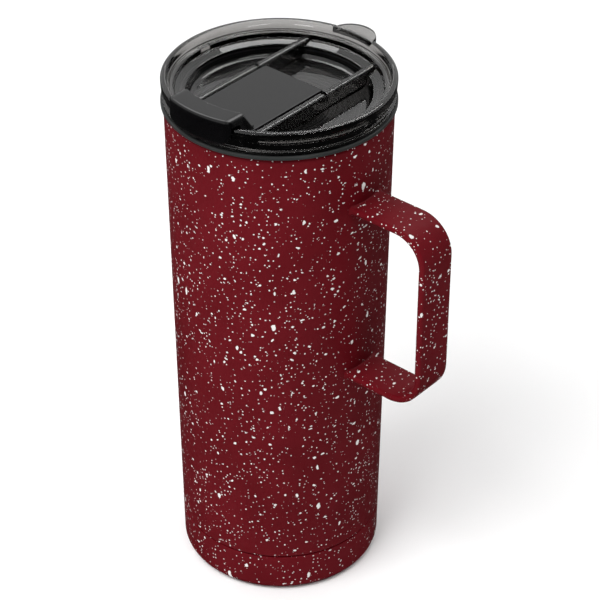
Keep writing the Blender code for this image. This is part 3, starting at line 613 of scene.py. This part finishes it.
def make_base_cup():
    low = PAD_PROUD
    recess_top = PAD_THICKNESS + GAP
    top = GROOVE_HEIGHT - GROOVE_WIDTH / 2.0
    outline = rounded([
        (0.0, recess_top, 0.0),
        (PAD_RADIUS + GAP, recess_top, 0.0),
        (PAD_RADIUS + GAP, low, 0.2 * MM),
        (cup_radius(low), low, FOOT_ROUNDING),
        (cup_radius(top), top, 0.3 * MM),
        (cup_radius(top) - BASE_WALL, top, 0.0),
        (cup_radius(low) - BASE_WALL, recess_top + BASE_WALL, FOOT_ROUNDING - BASE_WALL),
        (0.0, recess_top + BASE_WALL, 0.0),
    ], steps=8)
    return lathe("base_wall", outline)


def make_foot_pad():
    """Foot pad with shallow ring grooves for grip."""
    corners = [(0.0, 0.0, 0.0)]
    depth = 0.25 * MM
    half_groove = 0.4 * MM
    for ring in (10.0 * MM, 14.0 * MM, 18.0 * MM, 22.0 * MM):
        corners += [(ring - half_groove, 0.0, 0.1 * MM), (ring - 0.6 * half_groove, depth, 0.0),
                    (ring + 0.6 * half_groove, depth, 0.0), (ring + half_groove, 0.0, 0.1 * MM)]
    corners += [(PAD_RADIUS, 0.0, 0.4 * MM), (PAD_RADIUS, PAD_THICKNESS, 0.0), (0.0, PAD_THICKNESS, 0.0)]
    return lathe("grip_pad", rounded(corners, steps=3))


# ---------------------------------------------------------------- the handle

def strap_path(bend_steps=24):
    """Points along the strap's middle line, each with its outward direction and its swell at the weld."""
    legs = []
    for height, out in ((STRAP_TOP, (0.0, 1.0)), (STRAP_BOTTOM, (0.0, -1.0))):
        wall = cup_radius(height)
        leg = []
        for offset, swell in WELD_PROFILE:
            leg.append(((wall + offset * MM, height), out, swell * MM))
        legs.append(leg)
    path = legs[0]
    bends = ((STRAP_REACH - STRAP_TOP_BEND, STRAP_TOP - STRAP_TOP_BEND, STRAP_TOP_BEND, math.pi / 2.0),
             (STRAP_REACH - STRAP_BOTTOM_BEND, STRAP_BOTTOM + STRAP_BOTTOM_BEND, STRAP_BOTTOM_BEND, 0.0))
    for centre_x, centre_z, radius, first in bends:
        for step in range(bend_steps + 1):
            angle = first - math.pi / 2.0 * step / bend_steps
            out = (math.cos(angle), math.sin(angle))
            path.append(((centre_x + radius * out[0], centre_z + radius * out[1]), out, 0.0))
    return path + legs[1][::-1]


def make_handle():
    """The bent strap, swelling into its weld fillets where it meets the wall."""
    sections = []
    for (x, z), (out_x, out_z), swell in strap_path():
        half_width = STRAP_WIDTH / 2.0 + swell
        half_thickness = STRAP_THICKNESS / 2.0 + swell
        rounding = STRAP_ROUNDING + 0.5 * swell
        outline = rounded([
            (-half_width, -half_thickness, rounding),
            (half_width, -half_thickness, rounding),
            (half_width, half_thickness, rounding),
            (-half_width, half_thickness, rounding),
        ])
        wall = cup_radius(z)
        follow = 1.0 if abs(x - wall) < WELD_REACH else 0.0
        section = []
        for across, out in outline:
            back = follow * (wall - math.sqrt(wall ** 2 - across ** 2))
            section.append((x + out * out_x - back, across, z + out * out_z))
        sections.append(section)
    return loft("handle", sections)


# ---------------------------------------------------------------- the lid

def slot_cutter(name, low, high, growth=0.0):
    outline = racetrack(SLOT_LENGTH + growth, SLOT_WIDTH + growth)
    return upright_prism(name, outline, low, high, (0.0, SLOT_CENTRE_Y))


def vent_cutter(name, low, high, growth=0.0):
    return upright_prism(name, circle(VENT_RADIUS + growth), low, high, (0.0, VENT_CENTRE_Y))


def radial_block(name, turn, inner, outer, width, low, high):
    """An upright block whose middle line points away from the axis, turned from the front."""
    outline = ((inner, -width / 2.0), (outer, -width / 2.0), (outer, width / 2.0), (inner, width / 2.0))
    block = upright_prism(name, outline, low, high)
    block.data.transform(Matrix.Rotation(math.radians(turn - 90.0), 4, "Z"))
    return block


def make_studs():
    """Clear studs that reach across the channel behind the waist."""
    return [radial_block("stud_%d" % index, turn, CHANNEL_INNER_RADIUS - 0.15 * MM,
                         CHANNEL_OUTER_RADIUS + 0.2 * MM, STUD_WIDTH, STUD_BOTTOM, CHANNEL_TOP + 0.3 * MM)
            for index, turn in enumerate(STUD_TURNS)]


def make_rails():
    """The two rails, with rounded top edges."""
    in_wall = BOWL_RADIUS + 0.4 * MM
    on_ledge = STEP_RADIUS + 0.4 * MM
    low = ADDITION_BOTTOM
    step_up = LEDGE_HEIGHT - LEDGE_FALL - 0.3 * MM
    steps = 8
    edge = []
    for step in range(steps + 1):
        turn = math.pi / 2.0 * step / steps
        edge.append((RAIL_ROUNDING * (1.0 - math.cos(turn)), RAIL_ROUNDING * (1.0 - math.sin(turn))))
    stations = [(RAIL_INNER + inset, drop) for inset, drop in edge]
    stations += [(RAIL_OUTER - inset, drop) for inset, drop in reversed(edge)]
    rails = []
    for side, name in ((-1.0, "left_rail"), (1.0, "right_rail")):
        sections = []
        for across, drop in stations:
            wall_y = math.sqrt(in_wall ** 2 - across ** 2)
            ledge_y = math.sqrt(on_ledge ** 2 - across ** 2)
            outline = ((-wall_y, low), (wall_y, low), (wall_y, step_up),
                       (ledge_y, step_up), (ledge_y, RAIL_TOP - drop), (-wall_y, RAIL_TOP - drop))
            sections.append([(side * across, y, height) for y, height in outline])
        rails.append(loft(name, sections))
    return rails


def make_tab():
    """Thumb tab with rounded edges."""
    top = LID_TOP - 1.0 * MM
    inside_y = 37.0 * MM
    rounding = 0.45 * MM
    steps = 48
    under = -TAB_THICKNESS
    levels = ((1.0, under), (0.3, under + 0.3 * rounding), (0.0, under + rounding),
              (0.0, -rounding), (0.3, -0.3 * rounding), (1.0, 0.0))
    rows = []
    for share, height in levels:
        inset = share * rounding
        row = []
        for step in range(steps + 1):
            angle = math.pi * step / steps
            row.append(((TAB_HALF_WIDTH - inset) * math.cos(angle),
                        inside_y + (TAB_REACH - inside_y - inset) * math.sin(angle), top + height))
        rows.append(row)
    return loft("thumb_tab", rows)


def make_spout_block():
    """The raised floor round the drinking slot, from rail to rail."""
    half_width = RAIL_INNER + 0.5 * MM
    front_y = -27.4 * MM
    rear_y = -20.0 * MM
    outline = [(-half_width, front_y), (half_width, front_y), (half_width, rear_y), (-half_width, rear_y)]
    return upright_prism("spout_block", outline, ADDITION_BOTTOM, SPOUT_FLOOR)


def bowed_wall(steps=8):
    """Corners along the rim's inner wall, which is bowed slightly outwards between its foot and its top."""
    low = STEP_HEIGHT + 0.7 * MM
    high = LID_TOP - 0.8 * MM
    corners = []
    for step in range(steps + 1):
        share = step / steps
        height = low + (high - low) * share
        rise = (height - STEP_HEIGHT - 0.2 * MM) / (LID_TOP - STEP_HEIGHT - 0.2 * MM)
        radius = WALL_FOOT_RADIUS + (LID_INNER_RADIUS - WALL_FOOT_RADIUS) * rise
        corners.append((radius + WALL_BOW * 4.0 * rise * (1.0 - rise), height, 0.0))
    return corners


def make_lid_cover():
    under_ledge = LEDGE_HEIGHT - COVER_WALL
    outline = rounded([
        (0.0, BOWL_FLOOR, 0.0),
        (29.9 * MM, BOWL_FLOOR, 2.0 * MM),
        (BOWL_RADIUS, LEDGE_HEIGHT - LEDGE_FALL, 0.4 * MM),
        (STEP_RADIUS, LEDGE_HEIGHT, 0.3 * MM),
        (STEP_RADIUS + 0.3 * MM, STEP_HEIGHT, 0.3 * MM),
        (WALL_FOOT_RADIUS, STEP_HEIGHT + 0.2 * MM, 0.4 * MM),
        *bowed_wall(),
        (LID_INNER_RADIUS, LID_TOP, 0.6 * MM),
        (LID_RADIUS, LID_TOP, 1.0 * MM),
        (LID_RADIUS - 0.3 * MM, RIM_BOTTOM + 0.2 * MM, 0.5 * MM),
        (WAIST_RADIUS, RIM_BOTTOM, 0.2 * MM),
        (WAIST_RADIUS, FLANGE_TOP + 0.2 * MM, 0.2 * MM),
        (FLANGE_RADIUS, FLANGE_TOP - 0.1 * MM, 0.3 * MM),
        (FLANGE_RADIUS, FLANGE_BOTTOM, 0.2 * MM),
        (CHANNEL_OUTER_RADIUS, FLANGE_BOTTOM, 0.1 * MM),
        (CHANNEL_OUTER_RADIUS, CHANNEL_TOP, 0.2 * MM),
        (CHANNEL_INNER_RADIUS, CHANNEL_TOP, 0.2 * MM),
        (CHANNEL_INNER_RADIUS, under_ledge, 0.1 * MM),
        (32.1 * MM, under_ledge, 0.3 * MM),
        (31.4 * MM, BOWL_FLOOR - COVER_WALL, 2.5 * MM),
        (0.0, BOWL_FLOOR - COVER_WALL, 0.0),
    ], steps=6)
    cover = lathe("clear_cover", outline)
    additions = make_rails() + make_studs()
    vent_boss = vent_cutter("vent_boss", ADDITION_BOTTOM, SPOUT_FLOOR, 1.6 * MM)
    additions += [make_tab(), make_spout_block(), vent_boss]
    combine(cover, additions, "UNION")
    low = BOWL_FLOOR - 4.0 * MM
    high = SPOUT_FLOOR + 1.0 * MM
    socket_end = TRUNNION_END + GAP
    entry = TRUNNION_RADIUS - 0.1 * MM
    entry_outline = [(-socket_end, HINGE_Y - entry), (socket_end, HINGE_Y - entry),
                     (socket_end, HINGE_Y + entry), (-socket_end, HINGE_Y + entry)]
    cutters = [
        slot_cutter("cover_slot", low, high),
        vent_cutter("cover_vent", low, high),
        hinge_bar("trunnion_socket", TRUNNION_RADIUS + GAP, socket_end),
        upright_prism("trunnion_entry", entry_outline, HINGE_HEIGHT, RAIL_TOP + 1.0 * MM),
    ]
    combine(cover, cutters, "DIFFERENCE")
    even_normals(cover)
    return cover


def make_lid_insert():
    """Dark insert with ring ridges on its floor, which show through the clear bowl."""
    flange_top = FLANGE_BOTTOM - GAP
    flange_bottom = CUP_HEIGHT + GAP
    flange_radius = LID_RADIUS + 0.1 * MM
    shelf_top = LEDGE_HEIGHT - COVER_WALL - GAP
    collar_inner = CHANNEL_INNER_RADIUS + GAP
    collar_outer = CHANNEL_OUTER_RADIUS - GAP
    corners = [
        (0.0, INSERT_FLOOR_BOTTOM, 0.0),
        (PLUG_INNER_RADIUS, INSERT_FLOOR_BOTTOM, 0.6 * MM),
        (PLUG_INNER_RADIUS, PLUG_BOTTOM, 0.3 * MM),
        (PLUG_RADIUS - 0.2 * MM, PLUG_BOTTOM, 0.5 * MM),
        (PLUG_RADIUS, GASKET_BOTTOM - GAP, 0.0),
        (GASKET_GROOVE_RADIUS, GASKET_BOTTOM - GAP, 0.0),
        (GASKET_GROOVE_RADIUS, GASKET_TOP + GAP, 0.0),
        (PLUG_RADIUS, GASKET_TOP + GAP, 0.0),
        (PLUG_RADIUS, flange_bottom, 0.3 * MM),
        (flange_radius, flange_bottom, 0.3 * MM),
        (flange_radius, flange_top, 0.3 * MM),
        (collar_outer, flange_top, 0.1 * MM),
        (collar_outer, CHANNEL_TOP - GAP, 0.2 * MM),
        (collar_inner, CHANNEL_TOP - GAP, 0.2 * MM),
        (collar_inner, shelf_top, 0.1 * MM),
        (32.4 * MM, shelf_top, 0.3 * MM),
        (PLUG_INNER_RADIUS, INSERT_FLOOR_TOP, 0.4 * MM),
    ]
    ridge_top = INSERT_FLOOR_TOP + RIDGE_HEIGHT
    for ridge in range(RIDGE_COUNT):
        radius = RIDGE_OUTER_RADIUS - ridge * RIDGE_PITCH
        corners += [(radius, INSERT_FLOOR_TOP, 0.0), (radius - 0.15 * MM, ridge_top, 0.1 * MM),
                    (radius - 0.65 * MM, ridge_top, 0.1 * MM), (radius - 0.8 * MM, INSERT_FLOOR_TOP, 0.0)]
    corners.append((0.0, INSERT_FLOOR_TOP, 0.0))
    insert = lathe("dark_insert", rounded(corners, steps=4))
    under_cover = BOWL_FLOOR - COVER_WALL - GAP
    combine(insert, [slot_cutter("slot_chute", INSERT_FLOOR_TOP - 0.5 * MM, under_cover, 3.0 * MM),
                     vent_cutter("vent_chute", INSERT_FLOOR_TOP - 0.5 * MM, under_cover, 1.5 * MM)], "UNION")
    low = INSERT_FLOOR_BOTTOM - 1.0 * MM
    high = under_cover + 1.0 * MM
    cutters = [slot_cutter("insert_slot", low, high), vent_cutter("insert_vent", low, high)]
    for index, turn in enumerate(STUD_TURNS):
        cutters.append(radial_block("stud_notch_%d" % index, turn, collar_inner - 0.15 * MM, FLANGE_RADIUS,
                                    STUD_WIDTH + 2.0 * GAP, STUD_BOTTOM - GAP, CHANNEL_TOP + 0.3 * MM))
    combine(insert, cutters, "DIFFERENCE")
    even_normals(insert)
    return insert


def make_lid_gasket():
    inner = GASKET_GROOVE_RADIUS + GAP
    valley = GASKET_RADIUS - 0.6 * MM
    height = GASKET_TOP - GASKET_BOTTOM
    outline = rounded([
        (inner, GASKET_BOTTOM, 0.1 * MM),
        (valley, GASKET_BOTTOM, 0.1 * MM),
        (GASKET_RADIUS, GASKET_BOTTOM + 0.25 * height, 0.2 * MM),
        (valley, GASKET_BOTTOM + 0.5 * height, 0.1 * MM),
        (GASKET_RADIUS, GASKET_BOTTOM + 0.75 * height, 0.2 * MM),
        (valley, GASKET_TOP, 0.1 * MM),
        (inner, GASKET_TOP, 0.1 * MM),
    ], steps=4)
    return lathe("gasket", outline)


# ---------------------------------------------------------------- the flip closure

def lip_bottom_at(x):
    past = abs(x) - (LIP_HALF_WIDTH - LIP_CORNER)
    if past <= 0.0:
        return LIP_BOTTOM
    return LIP_BOTTOM + LIP_CORNER - math.sqrt(max(LIP_CORNER ** 2 - past ** 2, 0.0))


def lip_section(x, inset):
    """Hook section at one place across the lip, drawn in by the inset on all its visible sides."""
    foot = RAIL_TOP + GAP
    bottom = lip_bottom_at(x)
    over_rim = LID_TOP + 0.6 * MM
    flap_inside = LIP_RADIUS - LIP_WALL
    corners = [
        (28.8 * MM + inset, foot, 0.0),
        (33.3 * MM + inset, LIP_TOP - 0.1 * MM - inset, 0.9 * MM),
        (LIP_RADIUS - 0.2 * MM - inset, LIP_TOP - inset, 1.0 * MM),
        (LIP_RADIUS - inset, bottom + 1.2 * MM, 0.3 * MM),
        (LIP_RADIUS - 0.7 * MM - 0.6 * inset, bottom, 0.2 * MM),
        (flap_inside, bottom, 0.1 * MM),
        (flap_inside, over_rim, 0.5 * MM),
        (36.0 * MM, over_rim, 0.4 * MM),
        (33.7 * MM, foot, 0.0),
    ]
    return [(x, -math.sqrt(radius ** 2 - x ** 2), height) for radius, height in rounded(corners)]


def lip_stations(end_steps=8, middle_steps=30):
    """Places across the lip, each with how far its rounded end draws the section in."""
    inner = LIP_HALF_WIDTH - LIP_END_ROUNDING
    end = []
    for step in range(end_steps + 1):
        turn = math.pi / 2.0 * step / end_steps
        end.append((inner + LIP_END_ROUNDING * math.cos(turn), LIP_END_DEPTH * (1.0 - math.sin(turn))))
    middle = [(inner * (2.0 * step / middle_steps - 1.0), 0.0) for step in range(1, middle_steps)]
    return [(-x, inset) for x, inset in end] + middle + end[::-1]


def make_lip():
    """Hook over the rim, its two ends rounded off."""
    return loft("lip", [lip_section(x, inset) for x, inset in lip_stations()])


def make_plate():
    bottom = PLATE_TOP - PLATE_THICKNESS
    steps = 24
    edge_rounding = 0.3 * MM
    stations = []
    inner = PLATE_HALF_WIDTH - edge_rounding
    for step in range(5):
        turn = math.pi / 2.0 * step / 4
        stations.append((-inner - edge_rounding * math.cos(turn), edge_rounding * (1.0 - math.sin(turn))))
    for step in range(1, steps):
        stations.append((inner * (2.0 * step / steps - 1.0), 0.0))
    for step in range(4, -1, -1):
        turn = math.pi / 2.0 * step / 4
        stations.append((inner + edge_rounding * math.cos(turn), edge_rounding * (1.0 - math.sin(turn))))
    sections = []
    for x, inset in stations:
        front_y = -math.sqrt(PLATE_FRONT_RADIUS ** 2 - x ** 2)
        outline = rounded([
            (PLATE_REAR_Y - inset, bottom + inset, 0.8 * MM),
            (PLATE_REAR_Y - inset, PLATE_TOP - inset, 0.3 * MM),
            (front_y, PLATE_TOP - inset, 0.0),
            (front_y, bottom + inset, 0.3 * MM),
        ])
        sections.append([(x, u, v) for u, v in outline])
    return loft("closure", sections)


def make_neck():
    """The narrow wall that joins the plate to the lip."""
    sections = []
    steps = 24
    low = PLATE_TOP - 1.0 * MM
    high = RAIL_TOP + 1.3 * MM
    for step in range(steps + 1):
        x = KNUCKLE_HALF_WIDTH * (2.0 * step / steps - 1.0)
        rear = -math.sqrt((28.9 * MM) ** 2 - x ** 2)
        front = -math.sqrt((29.7 * MM) ** 2 - x ** 2)
        sections.append([(x, rear, low), (x, rear, high), (x, front, high), (x, front, low)])
    return loft("lip_neck", sections)


def make_closure():
    plate = make_plate()
    combine(plate, [hinge_bar("knuckle", KNUCKLE_RADIUS, KNUCKLE_HALF_WIDTH),
                    hinge_bar("trunnions", TRUNNION_RADIUS, TRUNNION_END), make_lip(), make_neck()], "UNION")
    even_normals(plate)
    return plate


# ---------------------------------------------------------------- the studio

def make_floor():
    """Pale floor in two halves. Only the half behind the mug shows through the clear lid."""
    nodes = Nodes("pale_floor")
    nodes.shader.inputs["Base Color"].default_value = (0.97, 0.97, 0.97, 1.0)
    nodes.shader.inputs["Roughness"].default_value = 0.9
    nodes.shader.inputs["Specular IOR Level"].default_value = 0.1
    turn = Matrix.Rotation(CAMERA_AZIMUTH, 3, "Z")
    for name, near, far in (("floor_front", -FLOOR_REACH, 0.0), ("floor_rear", 0.0, FLOOR_REACH)):
        builder = bmesh.new()
        corners = ((-FLOOR_REACH, near), (FLOOR_REACH, near), (FLOOR_REACH, far), (-FLOOR_REACH, far))
        builder.faces.new([builder.verts.new(turn @ Vector((x, y, 0.0))) for x, y in corners])
        floor = add_object(name, builder)
        floor.data.materials.append(nodes.material)
        floor.visible_glossy = False
        floor.visible_transmission = name == "floor_rear"


def softbox(name, azimuth, elevation, distance, width, height, power):
    """A rectangular area light that faces the lid."""
    light = bpy.data.lights.new(name, "AREA")
    light.shape = "RECTANGLE"
    light.size = width
    light.size_y = height
    light.energy = power
    lamp = bpy.data.objects.new(name, light)
    direction = Vector((math.sin(azimuth) * math.cos(elevation), -math.cos(azimuth) * math.cos(elevation),
                        math.sin(elevation)))
    aim = Vector((0.0, 0.0, CUP_HEIGHT))
    lamp.location = aim + direction * distance
    lamp.rotation_euler = direction.to_track_quat("Z", "Y").to_euler()
    lamp.visible_transmission = False
    bpy.context.collection.objects.link(lamp)
    return lamp


def make_world():
    """White above the horizon and dark below it, with a broad dark screen at the right front."""
    world = bpy.data.worlds.new("studio")
    bpy.context.scene.world = world
    world.use_nodes = True
    tree = world.node_tree
    direction = tree.nodes.new("ShaderNodeTexCoord").outputs["Generated"]

    def smooth_share(value, low, high):
        node = tree.nodes.new("ShaderNodeMapRange")
        node.interpolation_type = "SMOOTHSTEP"
        node.inputs["From Min"].default_value = low
        node.inputs["From Max"].default_value = high
        tree.links.new(value, node.inputs["Value"])
        return node.outputs["Result"]

    def blend(share, first, second):
        node = tree.nodes.new("ShaderNodeMix")
        node.data_type = "RGBA"
        tree.links.new(share, node.inputs[0])
        for socket, colour in ((node.inputs[6], first), (node.inputs[7], second)):
            if isinstance(colour, bpy.types.NodeSocket):
                tree.links.new(colour, socket)
            else:
                socket.default_value = (colour, colour, colour, 1.0)
        return node.outputs[2]

    parts = tree.nodes.new("ShaderNodeSeparateXYZ")
    tree.links.new(direction, parts.inputs[0])
    towards_screen = tree.nodes.new("ShaderNodeVectorMath")
    towards_screen.operation = "DOT_PRODUCT"
    tree.links.new(direction, towards_screen.inputs[0])
    towards_screen.inputs[1].default_value = (math.sin(SCREEN_AZIMUTH), -math.cos(SCREEN_AZIMUTH), 0.1)
    sky = blend(smooth_share(towards_screen.outputs["Value"], 0.25, 0.85), SKY_BRIGHTNESS, SCREEN_BRIGHTNESS)
    sky = blend(smooth_share(parts.outputs["Z"], 0.70, 0.90), sky, ZENITH_BRIGHTNESS)
    sky = blend(smooth_share(parts.outputs["Z"], -0.25, 0.15), GROUND_BRIGHTNESS, sky)
    tree.links.new(sky, tree.nodes["Background"].inputs["Color"])


def make_camera():
    towards = Vector((math.sin(CAMERA_AZIMUTH) * math.cos(CAMERA_ELEVATION),
                      -math.cos(CAMERA_AZIMUTH) * math.cos(CAMERA_ELEVATION), math.sin(CAMERA_ELEVATION)))
    right = Vector((math.cos(CAMERA_AZIMUTH), math.sin(CAMERA_AZIMUTH), 0.0))
    forward = -towards
    up = right.cross(forward)
    panned_forward = forward * math.cos(CAMERA_PAN) + right * math.sin(CAMERA_PAN)
    panned_right = right * math.cos(CAMERA_PAN) - forward * math.sin(CAMERA_PAN)
    camera_x = panned_right * math.cos(CAMERA_ROLL) + up * math.sin(CAMERA_ROLL)
    camera_y = up * math.cos(CAMERA_ROLL) - panned_right * math.sin(CAMERA_ROLL)
    turn = Matrix((camera_x, camera_y, -panned_forward)).transposed().to_4x4()
    lens = bpy.data.cameras.new("camera")
    lens.lens = CAMERA_LENS
    lens.sensor_width = CAMERA_SENSOR
    lens.clip_start = 0.01
    camera = bpy.data.objects.new("camera", lens)
    place = Vector((0.0, 0.0, CAMERA_AIM_HEIGHT)) + towards * CAMERA_DISTANCE
    camera.matrix_world = Matrix.Translation(place) @ turn
    bpy.context.collection.objects.link(camera)
    bpy.context.scene.camera = camera


def make_studio():
    make_floor()
    make_world()
    make_camera()
    key = softbox("key", math.radians(-5.0), math.radians(55.0), 1.3, 0.8, 0.6, 12.0)
    key.visible_glossy = False
    rear_card = softbox("rear_card", math.radians(221.0), math.radians(62.0), 1.2, 1.8, 0.6, 14.0)
    rear_card.visible_diffuse = False
    for name, azimuth, elevation, width, height, power in (
            ("right_box", 80.0, 50.0, 0.6, 0.25, 1.9),
            ("left_strip", 15.7, 15.9, 0.40, 0.06, 0.5),
            ("right_strip", 61.5, 15.9, 0.44, 0.06, 0.5)):
        softbox(name, math.radians(azimuth), math.radians(elevation), 1.2, width, height, power)
    bpy.context.scene.view_settings.view_transform = "Standard"


# ---------------------------------------------------------------- assembly

def dress(thing, body, material, slot, *nodes):
    """Give a new piece its material and its body, and hide the CAD nodes it stands for."""
    thing.data.materials.clear()
    thing.data.materials.append(material)
    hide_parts(*nodes)
    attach(thing, body)


def recoat(node, material):
    """Give a CAD node that stays a better material."""
    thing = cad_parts[node]
    thing.data.materials.clear()
    thing.data.materials.append(material)


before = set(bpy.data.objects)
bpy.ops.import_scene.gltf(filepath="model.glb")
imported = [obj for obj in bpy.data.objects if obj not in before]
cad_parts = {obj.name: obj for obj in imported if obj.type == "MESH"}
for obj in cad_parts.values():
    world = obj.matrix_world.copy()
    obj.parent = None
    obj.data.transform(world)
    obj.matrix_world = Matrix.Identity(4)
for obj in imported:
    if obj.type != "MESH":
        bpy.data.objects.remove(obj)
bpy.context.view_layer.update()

coat = powder_coat()
steel = spun_steel()
rubber = silicone()
clear = smoke_clear()
getter_metal = dull_metal("getter_metal", (0.36, 0.35, 0.34, 1.0), (0.22, 0.21, 0.20, 1.0), 0.5)
closure_plastic = moulded_plastic("black_plastic", (0.0010, 0.0009, 0.0012, 1.0),
                                  (0.0018, 0.0017, 0.0020, 1.0), 0.16, 0.22, 0.002 * MM, 0.36)

dress(make_outer_shell(), "mug", coat, "powder_coat", "outer_shell")
dress(make_base_cup(), "mug", coat, "powder_coat", "base_cup")
dress(make_handle(), "mug", coat, "powder_coat", "handle_strap", "handle_upper_weld", "handle_lower_weld")
dress(make_inner_liner(), "mug", steel, "steel", "inner_liner")
dress(make_foot_pad(), "mug", rubber, "silicone", "foot_pad")
dress(make_lid_cover(), "lid", clear, "smoke_clear", "lid_cover")
dress(make_lid_insert(), "lid", insert_plastic(), "dark_plastic", "lid_insert")
dress(make_lid_gasket(), "lid", rubber, "silicone", "lid_gasket")
dress(make_closure(), "closure", closure_plastic, "black_plastic", "flip_cover")
recoat("spout_plug", rubber)
recoat("vent_plug", rubber)
recoat("foil_wrap", foil())
recoat("outer_bottom", steel)
recoat("vacuum_seal", getter_metal)
recoat("getter", getter_metal)

make_studio()
